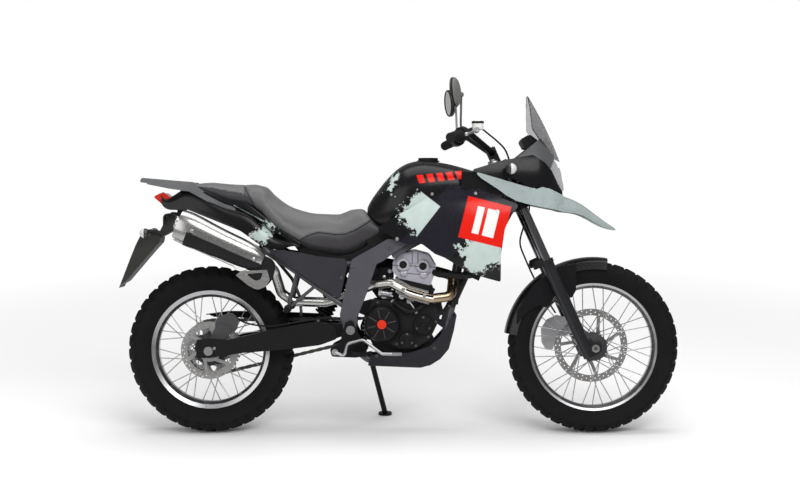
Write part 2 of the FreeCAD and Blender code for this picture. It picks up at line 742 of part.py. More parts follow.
def front_mudguard():
    """Close-fitting guard that turns with the fork, with a side wing behind and before each leg."""
    inner_r = FRONT_TYRE_R + 14
    section = [(inner_r, 0, 0), (inner_r - 4, 40, 30), (inner_r - 42, FENDER_HALF - PANEL_T, 0),
               (inner_r - 42, FENDER_HALF, 0), (inner_r + PANEL_T - 4, 46, 34), (inner_r + PANEL_T, 0, 0),
               (inner_r + PANEL_T - 4, -46, 34), (inner_r - 42, -FENDER_HALF, 0),
               (inner_r - 42, -FENDER_HALF + PANEL_T, 0), (inner_r - 4, -40, 30)]
    wire = rounded_wire([(Vector(r, y, 0), bend) for r, y, bend in section])
    start_deg, end_deg = 81.0, 171.0
    guard = Part.Face(wire).revolve(Vector(0, 0, 0), UP_Y, -(end_deg - start_deg))
    guard.Placement = Placement(FRONT_AXLE, Rotation(UP_Y, -start_deg))
    wing = [(1406, 650, 0), (1404, 548, 14), (1388, 520, 10), (1362, 522, 10), (1350, 560, 0), (1322, 548, 0),
            (1312, 500, 8), (1290, 482, 10), (1262, 492, 8), (1222, 470, 20), (1176, 420, 0), (1178, 470, 0),
            (1240, 570, 60), (1330, 640, 60)]
    wings = [slab(wing, FENDER_HALF - 3, FENDER_HALF), slab(wing, -FENDER_HALF, -FENDER_HALF + 3)]
    return guard.multiFuse(wings)


def front_brake(legs):
    """Caliper that bridges the front disc behind the left leg, on the leg's lug."""
    outline = [(1282, 392, 10), (1304, 428, 10), (1342, 446, 12), (1376, 440, 8), (1392, 420, 6), (1368, 404, 8),
               (1336, 360, 20), (1326, 316, 8), (1300, 312, 8), (1284, 340, 12)]
    body = slab(outline, FRONT_DISC_Y - 22, FRONT_DISC_Y + 32)
    slot_y = DISC_T / 2 + MOVING_GAP
    body = body.cut(drum(FRONT_AXLE, FRONT_DISC_R + MOVING_GAP, FRONT_DISC_Y - slot_y, FRONT_DISC_Y + slot_y))
    lug = [(1330, 372, 4), (1352, 430, 8), (1402, 436, 4), (1420, 380, 4), (1376, 366, 6)]
    lug_plate = slab(lug, FRONT_DISC_Y + 14, FRONT_DISC_Y + 28)
    return largest(fused(body, lug_plate).cut(legs))


def steering_nodes():
    legs, tubes = fork_nodes()
    placed_legs = steered(legs)
    return {
        "fork_legs": placed_legs,
        "fork_tubes": steered(tubes),
        "triple_clamps": steered(triple_clamps()),
        "handlebar": steered(handlebar()),
        "grips": steered(grips()),
        "hand_controls": steered(hand_controls()),
        "mirrors": steered(mirrors()),
        "front_axle": steered(front_axle()),
        "front_mudguard": front_mudguard(),
        "front_brake": front_brake(placed_legs),
    }



# Frame, subframe and swingarm

PLATE_IN = 104.0
PLATE_OUT = 130.0
PLATE_OUTLINE = [
    (532, 336, 8), (514, 404, 30), (500, 458, 30), (514, 520, 60), (538, 632, 60), (546, 668, 12), (572, 684, 20),
    (620, 710, 40), (684, 748, 30), (764, 734, 6), (712, 698, 40), (664, 662, 20), (640, 652, 12), (608, 553, 0),
    (566, 447, 60), (560, 382, 20), (572, 344, 10), (583, 316, 10), (564, 303, 12), (540, 312, 10),
]
SPAR_REAR = Vector(690, 104, 702)
SPAR_FRONT = Vector(1130, 25, 930)
SPAR_REAR_SIZE = (24, 66)
SPAR_FRONT_SIZE = (20, 58)
CRADLE_R = 13.0
CRADLE_Y = 60.0
GUARD_T = 4.0
GUARD_LOW_REAR = Vector(612, 0, 262)
GUARD_LOW_FRONT = Vector(806, 0, 254)
UPPER_CROSS = Vector(552, 0, 652)
UPPER_CROSS_R = 13.0
LOWER_CROSS = Vector(562, 0, 318)
DOWN_TOP = Vector(1126, 26, 912)
DOWN_BOTTOM = Vector(930, 60, 490)


def beam(start, end, start_size, end_size):
    """A straight box beam that tapers. A size is (across, tall)."""
    sections = []
    along = (end - start).normalize()
    up = along.cross(UP_Y).normalize() * -1
    side = up.cross(along).normalize()
    for p, (across, tall) in ((start, start_size), (end, end_size)):
        corners = [p + side * (across / 2 * i) + up * (tall / 2 * j) for i, j in ((1, 1), (-1, 1), (-1, -1), (1, -1))]
        sections.append(Part.makePolygon(corners + corners[:1]))
    return Part.makeLoft(sections, True, True)


def spars(clearance):
    """Both spars from the steering head to the pivot plates, grown by a clearance."""
    grown = [(across + 2 * clearance, tall + 2 * clearance) for across, tall in (SPAR_REAR_SIZE, SPAR_FRONT_SIZE)]
    return [beam(Vector(SPAR_REAR.x, side * SPAR_REAR.y, SPAR_REAR.z),
                 Vector(SPAR_FRONT.x, side * SPAR_FRONT.y, SPAR_FRONT.z), *grown) for side in (-1, 1)]


def cradle_route(side):
    """Down tube and the run under the engine, one side."""
    lift = GUARD_T + SEAT_GAP + CRADLE_R
    return [Vector(DOWN_TOP.x, side * DOWN_TOP.y, DOWN_TOP.z),
            Vector(DOWN_BOTTOM.x, side * CRADLE_Y, DOWN_BOTTOM.z),
            Vector(900, side * CRADLE_Y, 360),
            Vector(GUARD_LOW_FRONT.x + 20, side * CRADLE_Y, GUARD_LOW_FRONT.z + lift),
            Vector(GUARD_LOW_REAR.x, side * CRADLE_Y, GUARD_LOW_REAR.z + lift),
            Vector(LOWER_CROSS.x, side * CRADLE_Y, LOWER_CROSS.z)]


@functools.cache
def frame():
    axis = Vector(0, 0, 1)
    length = head_high() - head_low()
    head = steered(Part.makeCylinder(HEAD_TUBE_R, length, Vector(0, 0, head_low()), axis))
    bore = steered(Part.makeCylinder(HEAD_BORE_R, length + 2, Vector(0, 0, head_low() - 1), axis))
    pieces = spars(0)
    for side in (-1, 1):
        plate = slab(PLATE_OUTLINE, side * PLATE_IN, side * PLATE_OUT)
        plate = plate.cut(drum(PIVOT, PIVOT_R + SEAT_GAP / 3, -200, 200))
        pieces += [plate, tube(cradle_route(side), CRADLE_R, 60)]
    for centre, radius in ((UPPER_CROSS, UPPER_CROSS_R), (LOWER_CROSS, 12)):
        pieces.append(drum(centre, radius, -PLATE_IN - 12, PLATE_IN + 12))
    for side in (-1, 1):
        ear = [(544, 660, 6), (560, 640, 6), (530, 612, 12), (508, 620, 12)]
        pieces.append(slab(ear, side * SHOCK_EYE_HALF, side * (SHOCK_EYE_HALF + 7)))
    pieces.append(drum(SHOCK_TOP, 6, -SHOCK_EYE_HALF - 10, SHOCK_EYE_HALF + 10))
    pieces += stand_mount()
    return head.multiFuse(pieces).cut(bore)


SHOCK_TOP = Vector(524, 0, 630)
SHOCK_LOW = Vector(420, 0, 430)
SHOCK_EYE_HALF = 14.0


@functools.cache
def subframe():
    """Rails under the seat, side braces and the hangers of the passenger pegs."""
    pieces = []
    for side in (-1, 1):
        y = 84.0 * side
        rail = [Vector(UPPER_CROSS.x, y, UPPER_CROSS.z), Vector(400, y, 646), Vector(330, y, 668),
                Vector(200, y, 756), Vector(-120, y * 0.7, 884)]
        brace = [Vector(512, side * 114, 492), Vector(222, side * 110, 700), Vector(188, y, 763)]
        pieces += [tube(rail, 11, 60), tube(brace, 9.5, 20)]
        hanger_y = side * 113
        for top in ((337, 619), (406, 567)):
            pieces.append(rod(Vector(top[0], hanger_y, top[1]), Vector(303, hanger_y, 482), 6.5))
        pieces.append(Part.makeCylinder(13, 18, Vector(303, hanger_y - 9, 482), UP_Y))
    for x, z, r in ((400, 646, 9), (200, 756, 9), (-112, 881, 8)):
        half = 84.0 if x > 0 else 59.5
        pieces.append(drum(Vector(x, 0, z), r, -half, half))
    body = fused(pieces[0], *pieces[1:])
    return body.cut(frame())


def swingarm():
    """Box-section arms that step inboard at the pivot plates, with a bridge for the shock absorber."""
    outer = [(-46, 362, 6), (-46, 292, 6), (20, 296, 0), (122, 312, 80), (312, 328, 0), (426, 343, 80), (488, 366, 8),
             (484, 412, 14), (430, 432, 30), (350, 421, 0), (236, 402, 0), (160, 382, 60), (70, 362, 40), (0, 368, 0)]
    neck = [(430, 424, 0), (430, 348, 0), (500, 372, 30), (541, 378, 0), (563, 380, 14), (565, 420, 14), (541, 422, 0),
            (490, 424, 30)]
    pieces = []
    for side in (-1, 1):
        arm = slab(outer, side * ARM_INNER_Y, side * ARM_OUTER_Y)
        pieces.append(arm)
        pieces.append(slab(neck, side * (PLATE_IN - 13), side * (PLATE_IN - SEAT_GAP)))
    bridge = [(344, 346, 8), (404, 352, 8), (410, 412, 8), (348, 408, 8)]
    pieces.append(slab(bridge, -ARM_INNER_Y - 2, ARM_INNER_Y + 2))
    pieces.append(drum(PIVOT, 18, -PLATE_IN + 13, PLATE_IN - 13))
    for side in (-1, 1):
        ear = [(392, 404, 4), (408, 404, 4), (438, 424, 12), (424, 446, 12), (402, 436, 10)]
        pieces.append(slab(ear, side * SHOCK_EYE_HALF, side * (SHOCK_EYE_HALF + 7)))
    pieces.append(drum(SHOCK_LOW, 6, -SHOCK_EYE_HALF - 10, SHOCK_EYE_HALF + 10))
    body = fused(pieces[0], *pieces[1:])
    holes = [drum(PIVOT, PIVOT_R, -200, 200), drum(REAR_AXLE, REAR_AXLE_R + RUNNING_GAP, -200, 200)]
    return body.cut(Part.makeCompound(holes))


def swingarm_pivot():
    """Pivot shaft through the plates and the arm, with a cap on each end."""
    half = PLATE_OUT + 2
    shaft = drum(PIVOT, PIVOT_R, -half, half)
    caps = [drum(PIVOT, 17, side * half if side > 0 else -half - 6, half + 6 if side > 0 else -half)
            for side in (-1, 1)]
    return fused(shaft, *caps)


def shock():
    """Shock absorber with its spring as a grooved barrel, on two eyes."""
    line = SHOCK_TOP - SHOCK_LOW
    length = line.Length
    axis = Vector(0, 0, 1)
    eye_half = SHOCK_EYE_HALF - SEAT_GAP
    profile = [(0, 0), (11, 0), (11, 20), (24, 24), (36, 28), (36, 34), (28, 34)]
    turns = 7
    low, high = 36.0, length - 74.0
    pitch = (high - low) / turns
    for i in range(turns):
        z = low + pitch * i
        profile += [(28, z), (36, z + pitch * 0.3), (36, z + pitch * 0.6), (28, z + pitch * 0.9)]
    profile += [(28, high), (38, high), (38, high + 10), (27, high + 12), (27, length - 34), (11, length - 26),
                (11, length), (0, length)]
    points = [Vector(r, 0, z) for r, z in profile]
    barrel = Part.Face(Part.makePolygon(points + points[:1])).revolve(Vector(0, 0, 0), axis, 360)
    tilt = Rotation(axis, line)
    barrel.Placement = Placement(SHOCK_LOW, tilt)
    eyes = [drum(p, 16, -eye_half, eye_half) for p in (SHOCK_LOW, SHOCK_TOP)]
    body = fused(barrel, *eyes)
    pins = [drum(p, 6, -40, 40) for p in (SHOCK_LOW, SHOCK_TOP)]
    return body.cut(Part.makeCompound(pins))


def rear_axle():
    half = ARM_OUTER_Y + 8
    hub_half = 62.0
    pieces = [drum(REAR_AXLE, REAR_AXLE_R, -half, half)]
    pieces.append(drum(REAR_AXLE, 17, hub_half + 0.5, ARM_INNER_Y - SEAT_GAP))
    pieces.append(drum(REAR_AXLE, 17, -BRACKET_IN + SEAT_GAP, -hub_half - 0.5))
    for side in (-1, 1):
        y0, y1 = sorted((side * (ARM_OUTER_Y + SEAT_GAP), side * (ARM_OUTER_Y + 8)))
        pieces.append(drum(REAR_AXLE, 17, y0, y1))
    return fused(pieces[0], *pieces[1:])


BRACKET_IN = 91.0


def rear_brake():
    """Rear caliper over the disc and its bracket on the axle."""
    outline = [(22, 392, 8), (60, 382, 8), (104, 398, 10), (112, 440, 12), (84, 462, 12), (40, 452, 12), (24, 430, 8)]
    caliper = slab(outline, -BRACKET_IN - 4, REAR_DISC_Y + 24)
    slot_y = DISC_T / 2 + MOVING_GAP
    caliper = caliper.cut(drum(REAR_AXLE, REAR_DISC_R + MOVING_GAP, REAR_DISC_Y - slot_y, REAR_DISC_Y + slot_y))
    arm = [(-24, 322, 20), (-10, 298, 14), (30, 306, 14), (84, 390, 10), (84, 420, 8), (30, 420, 8)]
    bracket = slab(arm, -ARM_INNER_Y + SEAT_GAP, -BRACKET_IN)
    return fused(caliper, bracket).cut(drum(REAR_AXLE, REAR_AXLE_R, -200, 200))


def chain_guard():
    """Angle-section guard over the upper run of the chain."""
    top = [(-30, 450, 10), (60, 462, 40), (240, 460, 0), (420, 452, 4), (420, 449, 0), (240, 457, 0), (60, 459, 40),
           (-28, 447, 0)]
    wall = [(-30, 450, 10), (60, 462, 40), (240, 460, 0), (420, 452, 4), (418, 416, 6), (350, 410, 40), (100, 436, 60),
            (0, 438, 0)]
    outer = ARM_INNER_Y - SEAT_GAP
    return fused(slab(top, CHAIN_Y - 12, outer), slab(wall, outer - 3, outer))


# Engine and exhaust

CASE_RIGHT = -92.0
CASE_LEFT = 64.0
HEADER_R = 19.0
HEADER_BEND = 34.0
CLUTCH = Vector(660, 0, 422)


def crankcase():
    """Crankcase, gearbox and finned cylinder."""
    case = [(627, 516, 12), (597, 459, 30), (596, 402, 30), (622, 368, 30), (691, 346, 30), (729, 327, 20),
            (786, 327, 30), (843, 362, 40), (881, 440, 40), (868, 498, 12)]
    pieces = [slab(case, CASE_RIGHT, CASE_LEFT)]
    mount = [(640, 518, 10), (600, 450, 0), (560, 466, 10), (556, 492, 10)]
    pieces.append(slab(mount, -60, 60))
    pieces.append(drum(Vector(568, 0, 480), 10, -PLATE_IN + SEAT_GAP, PLATE_IN - SEAT_GAP))
    pieces.append(slab([(704, 490, 0), (722, 596, 0), (850, 566, 0), (850, 480, 0)], -60, 60))
    for i in range(5):
        z = 516.0 + 13 * i
        fin = [(696, z, 3), (856, z - 8, 3), (856, z - 4, 3), (696, z + 4, 3)]
        pieces.append(slab(fin, -70, 70))
    for side in (-1, 1):
        y = CRADLE_Y * side
        lug = Part.makeBox(40, 20, 50, Vector(740, y - 10, 287))
        pieces.append(lug)
    body = fused(pieces[0], *pieces[1:])
    tubes = [tube(cradle_route(side), CRADLE_R + SEAT_GAP, 60) for side in (-1, 1)]
    return body.cut(Part.makeCompound(tubes))


@functools.cache
def cylinder_head():
    """Cylinder head with its cover and the round plugs in its right face."""
    outline = [(703, 662, 14), (730, 696, 20), (787, 705, 40), (844, 690, 20), (868, 648, 14), (860, 606, 10),
               (846, 568, 8), (724, 596, 8), (700, 622, 10)]
    body = slab(outline, -76, 70)
    lip = [(708, 664, 10), (732, 690, 18), (787, 698, 38), (840, 684, 18), (860, 650, 10), (700, 656, 0)]
    pieces = [slab(lip, -80, 74)]
    for x, z in ((741, 648), (817, 642)):
        pieces.append(turned([(0, -76), (27, -76), (27, -84), (21, -88), (0, -88)], Vector(x, 0, z)))
    return fused(body, *pieces)


def engine_covers():
    """Ribbed clutch cover and small covers on the right, alternator and sprocket covers on the left."""
    face = CASE_RIGHT - 44
    dome = turned([(0, CASE_RIGHT), (70, CASE_RIGHT), (70, CASE_RIGHT - 14), (64, face + 8), (56, face), (0, face)],
                  CLUTCH)
    ribs = []
    for i in range(20):
        rib = Part.makeBox(36, 5, 3.2, Vector(22, -5, -1.6))
        rib.Placement = Placement(Vector(CLUTCH.x, face, CLUTCH.z), Rotation(UP_Y, 18.0 * i))
        ribs.append(rib)
    badge = turned([(0, face), (20, face), (18, face - 6), (0, face - 7)], CLUTCH)
    flange = drum(CLUTCH, 76, CASE_RIGHT - 8, CASE_RIGHT)
    right = dome.multiFuse(ribs + [badge, flange]).common(Part.makeBox(400, CASE_RIGHT + 200, 600, Vector(596, -200, 200)))
    pump = turned([(0, CASE_RIGHT), (38, CASE_RIGHT), (36, CASE_RIGHT - 20), (0, CASE_RIGHT - 24)],
                  Vector(818, 0, 420))
    small = turned([(0, CASE_RIGHT), (31, CASE_RIGHT), (29, CASE_RIGHT - 24), (0, CASE_RIGHT - 28)],
                   Vector(756, 0, 362))
    left = turned([(0, CASE_LEFT), (82, CASE_LEFT), (82, CASE_LEFT + 30), (66, CASE_LEFT + 48), (0, CASE_LEFT + 52)],
                  Vector(764, 0, 424))
    cover = [(700, 352, 12), (640, 344, 24), (584, 362, 24), (572, 400, 24), (590, 446, 20), (650, 462, 20),
             (710, 470, 10)]
    plate = slab(cover, 94, 101)
    left = fused(left, plate)
    return Part.makeCompound([fused(right, pump, small), left])


def header_route():
    return [Vector(866, -24, 622), Vector(934, -40, 604), Vector(924, -112, 528), Vector(850, -124, 520),
            Vector(760, -124, 545), Vector(696, -114, 580), Vector(628, -84, 572), Vector(500, -84, 520),
            Vector(440, -84, 504), Vector(322, -84, 508), Vector(276, -94, 540), Vector(254, -168, 630),
            Vector(214, -180, 664)]


@functools.cache
def exhaust_pipe():
    pipe = tube(header_route(), HEADER_R, HEADER_BEND)
    return pipe.cut(cylinder_head()).cut(muffler())


def heat_shield():
    """Curved guard along the outside of the header pipe."""
    route = header_route()[2:6]
    shell = tube(route, HEADER_R + 6, HEADER_BEND).cut(tube(route, HEADER_R + SEAT_GAP, HEADER_BEND))
    keep = Part.makeBox(126, 60, 140, Vector(712, -190, 480))
    keep.translate(Vector(0, 62, 0))
    return shell.common(keep)


MUFFLER_FRONT = Vector(212, -180, 664)
MUFFLER_REAR = Vector(-106, -186, 806)


def muffler_loft(grow):
    """Oval can that widens towards its rear end."""
    axis = (MUFFLER_REAR - MUFFLER_FRONT).normalize()
    up = axis.cross(UP_Y).normalize()
    length = (MUFFLER_REAR - MUFFLER_FRONT).Length
    sections = []
    for share, across, tall in ((0.0, 34, 28), (0.08, 44, 40), (0.5, 52, 52), (0.92, 56, 60), (1.0, 52, 56)):
        centre = MUFFLER_FRONT + axis * (length * share)
        curve = Part.BSplineCurve()
        points = []
        for i in range(16):
            t = 2 * math.pi * i / 16
            c, s = math.cos(t), math.sin(t)
            y = (across + grow) * math.copysign(abs(c) ** 0.8, c)
            z = (tall + grow) * math.copysign(abs(s) ** 0.8, s)
            points.append(centre + UP_Y * y + up * z)
        curve.interpolate(points, PeriodicFlag=True)
        sections.append(Part.Wire([curve.toShape()]))
    return Part.makeLoft(sections, True, False)


@functools.cache
def muffler():
    axis = (MUFFLER_REAR - MUFFLER_FRONT).normalize()
    can = muffler_loft(0)
    outlet = Part.makeCylinder(15, 60, MUFFLER_REAR - axis * 40, axis)
    lip = Part.makeCylinder(20, 18, MUFFLER_REAR - axis * 6, axis)
    bracket = rod(Vector(120, -140, 716), Vector(120, -104, 738), 9)
    return fused(can, lip, bracket).cut(outlet)


def muffler_case():
    """Black cover round the underside of the can, with the low shield at its front."""
    shell = muffler_loft(7).cut(muffler_loft(SEAT_GAP))
    axis = (MUFFLER_REAR - MUFFLER_FRONT).normalize()
    up = axis.cross(UP_Y).normalize()
    if up.z < 0:
        up = up * -1
    top = MUFFLER_FRONT + up * -14
    keep = Part.makeBox(600, 400, 200, Vector(-300, -200, -200))
    keep.Placement = Placement(top, Rotation(Vector(0, 0, 1), up)).multiply(keep.Placement)
    return shell.common(keep).cut(exhaust_pipe())


# Bodywork

@functools.cache
def fuel_tank():
    stations = [(604, 790, 866, 58), (640, 778, 926, 90), (692, 770, 990, 120), (750, 772, 1033, 140),
                (812, 786, 1047, 147), (880, 820, 1041, 147), (950, 852, 1026, 140), (1016, 884, 1006, 120)]
    body = hull_body(stations, 2.6)
    return body.cut(Part.makeCompound(spars(SEAT_GAP)))


def filler_cap():
    """Lockable cap let into the top of the tank."""
    centre = Vector(838, 0, 1046)
    cap = Part.makeCylinder(38, 12, centre, Vector(0, 0, 1))
    neck = Part.makeCylinder(44, 5, centre - Vector(0, 0, 3), Vector(0, 0, 1))
    return fused(cap, neck).cut(fuel_tank())


def shroud_width(x, z):
    width = 150 + 42 * smooth_step(x, 680, 1040) - 14 * smooth_step(x, 1080, 1170)
    width -= 36 * smooth_step(z, 820, 970)
    return width - 30 * smooth_step(-z, -730, -580)


def shrouds():
    outline = [(655, 800, 10), (917, 950, 30), (975, 948, 20), (1030, 936, 40), (1106, 905, 20), (1180, 876, 10),
               (1151, 838, 20), (1125, 789, 60), (1110, 687, 60), (1111, 584, 6), (1049, 601, 20), (990, 620, 0),
               (899, 676, 40), (861, 691, 20), (812, 729, 30), (748, 729, 30), (714, 744, 30), (665, 776, 10)]
    panel = skin_panel(outline, shroud_width, PANEL_T)
    boss = rod(Vector(1050, RADIATOR_HALF + SEAT_GAP, 700), Vector(1050, shroud_width(1050, 700) - 2, 700), 9)
    boss_high = rod(Vector(900, 132, 880), Vector(900, shroud_width(900, 880) - 2, 880), 9)
    half = fused(panel, boss, boss_high)
    return pair(half).cut(fuel_tank())


RADIATOR_HALF = 140.0
RADIATOR_T = 34.0
RADIATOR_H = 200.0
RADIATOR_RISE = 130.0


def radiator():
    """Radiator core between two side tanks, on the front of the down tubes, with its lower hose."""
    low = Vector(DOWN_BOTTOM.x, 0, DOWN_BOTTOM.z)
    high = Vector(DOWN_TOP.x, 0, DOWN_TOP.z)
    along = (high - low).normalize()
    ahead = Vector(along.z, 0, -along.x)
    start = low + along * RADIATOR_RISE + ahead * (CRADLE_R + SEAT_GAP + RADIATOR_T / 2)
    spot = Placement(start, Rotation(Vector(0, 0, 1), along))
    core = Part.makeBox(RADIATOR_T - 8, 2 * RADIATOR_HALF - 50, RADIATOR_H - 10,
                        Vector(-RADIATOR_T / 2 + 4, -RADIATOR_HALF + 25, 5))
    pieces = [core]
    for side in (-1, 1):
        y0 = RADIATOR_HALF - 28 if side > 0 else -RADIATOR_HALF
        pieces.append(Part.makeBox(RADIATOR_T, 28, RADIATOR_H, Vector(-RADIATOR_T / 2, y0, 0)))
    for z in (0, RADIATOR_H - 6):
        pieces.append(Part.makeBox(RADIATOR_T, 2 * RADIATOR_HALF - 50, 6, Vector(-RADIATOR_T / 2, -RADIATOR_HALF + 25, z)))
    pegs = []
    rise = (DOWN_TOP - DOWN_BOTTOM).Length
    for side in (-1, 1):
        for z in (30, RADIATOR_H - 30):
            y = side * (CRADLE_Y + (DOWN_TOP.y - CRADLE_Y) * (RADIATOR_RISE + z) / rise)
            pegs.append(rod(Vector(-RADIATOR_T / 2 + 6, y, z), Vector(-RADIATOR_T / 2 - 2, y, z), 7))
    body = fused(pieces[0], *(pieces[1:] + pegs))
    body.Placement = spot
    outlet = spot.multVec(Vector(0, -RADIATOR_HALF + 14, 20))
    hose = tube([outlet, outlet + Vector(-40, 6, -6), Vector(880, -96, 612), Vector(862, -70, 618)], 13, 22)
    body = fused(body, hose)
    tubes = [tube(cradle_route(side), CRADLE_R + SEAT_GAP, 60) for side in (-1, 1)]
    return body.cut(Part.makeCompound(tubes)).cut(cylinder_head())


@functools.cache
def intake():
    """Throttle body behind the cylinder head and the air box that it draws from."""
    box = [(548, 604, 10), (636, 600, 14), (652, 690, 14), (640, 722, 10), (604, 702, 20), (576, 672, 10),
           (548, 666, 6)]
    body = slab(box, -68, 68)
    throat = rod(Vector(640, 0, 650), Vector(706, 0, 640), 27)
    return fused(body, throat).cut(cylinder_head()).cut(frame())


def flank_width(x):
    """Half width of the upper fairing's flanks from above, before the nose closes in."""
    return 178 - 26 * smooth_step(x, 1080, 1260)


def fairing_width(x, z):
    return flank_width(x) - 50 * smooth_step(x, 1240, 1350) - 12 * smooth_step(z, 985, 1075)


@functools.cache
def fairing():
    """Black upper fairing: a side panel each side, closed in front by the nose round the headlight."""
    outline = [(990, 1006, 6), (1108, 1042, 60), (1233, 1067, 20), (1278, 1038, 30), (1305, 1008, 30), (1326, 968, 30),
               (1337, 920, 10), (1259, 944, 20), (1214, 942, 20), (1184, 963, 20), (1146, 978, 30), (1097, 968, 20),
               (1070, 985, 20)]
    side = skin_panel(outline, fairing_width, PANEL_T)
    stations = [(1284, 936, 1036, 128), (1312, 930, 1000, 112), (1334, 922, 966, 96), (1350, 914, 940, 84)]
    nose = arch_shell(stations, PANEL_T, 3.4)
    return fused(nose, side, mirrored(side)).cut(headlight_block(SEAT_GAP))


def headlight_block(grow):
    outline = [(1296, 936), (1300, 1040), (1318, 1050), (1338, 1014), (1353, 956), (1356, 926)]
    centre_x = sum(p[0] for p in outline) / len(outline)
    centre_z = sum(p[1] for p in outline) / len(outline)
    grown = []
    for x, z in outline:
        away = Vector(x - centre_x, 0, z - centre_z)
        scale = 1 + 1.5 * grow / away.Length
        grown.append((centre_x + away.x * scale, centre_z + away.z * scale, 8))
    return slab(grown, -82 - grow, 82 + grow)


@functools.cache
def headlight():
    """Lamp body with a raised lens divided in two."""
    body = headlight_block(0)
    groove = slab([(1312, 1060, 0), (1366, 940, 0), (1362, 936, 0), (1308, 1056, 0)], -3, 3)
    return body.cut(groove)


def beak_width(x, z):
    return flank_width(x) + PANEL_T + 2 * SEAT_GAP - 116 * smooth_step(x, 1250, 1600)


def beak():
    """Pale beak: an arm along each side of the fairing and a roof over the front wheel."""
    outline = [(1006, 1004, 6), (1094, 978, 40), (1190, 950, 40), (1246, 936, 20), (1268, 944, 14), (1298, 937, 20),
               (1350, 912, 0), (1350, 852, 0), (1266, 868, 60), (1209, 880, 60), (1170, 891, 40), (1132, 911, 30),
               (1101, 934, 30), (1036, 976, 10)]
    side = skin_panel(outline, beak_width, PANEL_T)
    stations = [(1330, 856, 919, beak_width(1330, 900)), (1381, 846, 902, beak_width(1381, 900)),
                (1430, 834, 878, beak_width(1430, 900)), (1480, 806, 842, beak_width(1480, 850)),
                (1530, 784, 806, 48), (1560, 778, 786, 22)]
    roof = arch_shell(stations, PANEL_T, 3.0)
    body = fused(roof, side, mirrored(side))
    return body.cut(headlight_block(SEAT_GAP))


def screen_x(y, z):
    """Front face of the windscreen."""
    rise = (z - 1037) / (1296 - 1037)
    return 1348 - 92 * rise - 33 * rise ** 2 - 62 * (y / 148) ** 2


@functools.cache
def windscreen():
    outline = [(0, 1042), (88, 1060), (136, 1118), (150, 1166), (118, 1220), (82, 1262), (40, 1290)]
    full = outline + [(0, 1297)] + [(-y, z) for y, z in outline[:0:-1]]
    grid = []
    for i in range(11):
        y = -170 + 34 * i
        grid.append([Vector(screen_x(y, 1020 + 37 * j), y, 1020 + 37 * j) for j in range(9)])
    skin = Part.BSplineSurface()
    skin.interpolate(grid)
    sheet = skin.toShape().extrude(Vector(-4, 0, 0))
    radii = [30, 20, 20, 24, 40, 40, 20, 20, 20, 40, 40, 24, 20, 20]
    wire = rounded_wire([(Vector(1000, y, z), r) for (y, z), r in zip(full, radii)])
    prism = Part.Face(wire).extrude(Vector(600, 0, 0))
    return sheet.common(prism)


def cockpit_width(x, z):
    return fairing_width(x, z) - PANEL_T - SEAT_GAP


def cockpit_panels():
    """Grey panels between the fairing and the windscreen."""
    outline = [(1160, 1046, 6), (1224, 1098, 20), (1262, 1130, 6), (1300, 1085, 20), (1318, 1052, 8), (1300, 1010, 8),
               (1272, 1030, 20), (1232, 1056, 20)]
    return pair(skin_panel(outline, cockpit_width, PANEL_T).cut(windscreen()).cut(fairing()))


def fairing_stay():
    """Bracket from the steering head that carries the fairing, the headlight and the instruments."""
    reach = steering_place()
    root = reach.multVec(Vector(HEAD_TUBE_R - 2, 0, 706))
    end = Vector(1258, 0, 1016)
    half = fairing_width(1258, 1016) - PANEL_T / 2
    bar = drum(Vector(1258, 0, 1016), 8, -half, half)
    post = rod(Vector(1252, 0, 1016), Vector(1236, 0, 1096), 8)
    nose = rod(Vector(1258, 0, 1000), Vector(1302, 0, 985), 8)
    body = fused(rod(root, end, 10), bar, post, nose, rod(Vector(1258, 0, 1016), Vector(1258, 0, 992), 8))
    return largest(body.cut(frame()).cut(fairing()).cut(headlight()).cut(instruments()))


@functools.cache
def instruments():
    """Instrument pod that faces the rider."""
    outline = [(1206, 1092, 8), (1190, 1122, 8), (1226, 1146, 10), (1262, 1118, 12), (1252, 1092, 8)]
    pod = slab(outline, -84, 84)
    return pod


def indicators():
    """Front indicators on the fairing's sides and rear ones on the number plate's arm."""
    pieces = []
    for side in (-1, 1):
        y = fairing_width(1140, 1010)
        stem = Part.makeCylinder(7, 24, Vector(1136, side * (y - 1), 1012), Vector(0, side, 0))
        lamp = Part.makeSphere(22)
        squeeze = FreeCAD.Matrix()
        squeeze.scale(1.0, 1.25, 0.95)
        lamp = lamp.transformGeometry(squeeze)
        lamp.translate(Vector(1146, side * (y + 38), 1012))
        pieces.append(largest(fused(stem, lamp).cut(fairing())))
        stalk = Part.makeCylinder(6, 90, Vector(-232, side * 24, 768), Vector(0, side, 0))
        rear = Part.makeSphere(20)
        rear = rear.transformGeometry(squeeze)
        rear.translate(Vector(-240, side * 126, 768))
        pieces.append(largest(fused(stalk, rear).cut(rear_mudguard())))
    return Part.makeCompound(pieces)


SEAT_TOP = [(-84, 950), (-6, 960), (72, 952), (130, 950), (195, 951), (234, 920), (304, 868), (381, 843), (439, 838),
            (497, 838), (547, 856), (588, 866)]
SEAT_LOW = [(-84, 932), (-6, 916), (72, 880), (139, 872), (185, 846), (234, 796), (304, 742), (381, 700), (439, 684),
            (497, 675), (547, 684), (588, 706)]
SEAT_HALF = [70, 96, 112, 118, 122, 130, 134, 128, 118, 106, 92, 74]


def seat():
    stations = [(x, low, top, half) for (x, top), (_, low), half in zip(SEAT_TOP, SEAT_LOW, SEAT_HALF)]
    body = hull_body(stations, 3.2)
    return body.cut(fuel_tank()).cut(tail_block()).cut(luggage_rack()).cut(intake()).cut(side_covers())


TAIL_STATIONS = [(-186, 884, 926, 62), (-110, 858, 934, 84), (-32, 850, 928, 100), (60, 812, 884, 108),
                 (140, 764, 864, 112), (204, 720, 814, 114), (291, 712, 752, 114), (350, 706, 718, 112)]
TAIL_SQUARE = 4.0


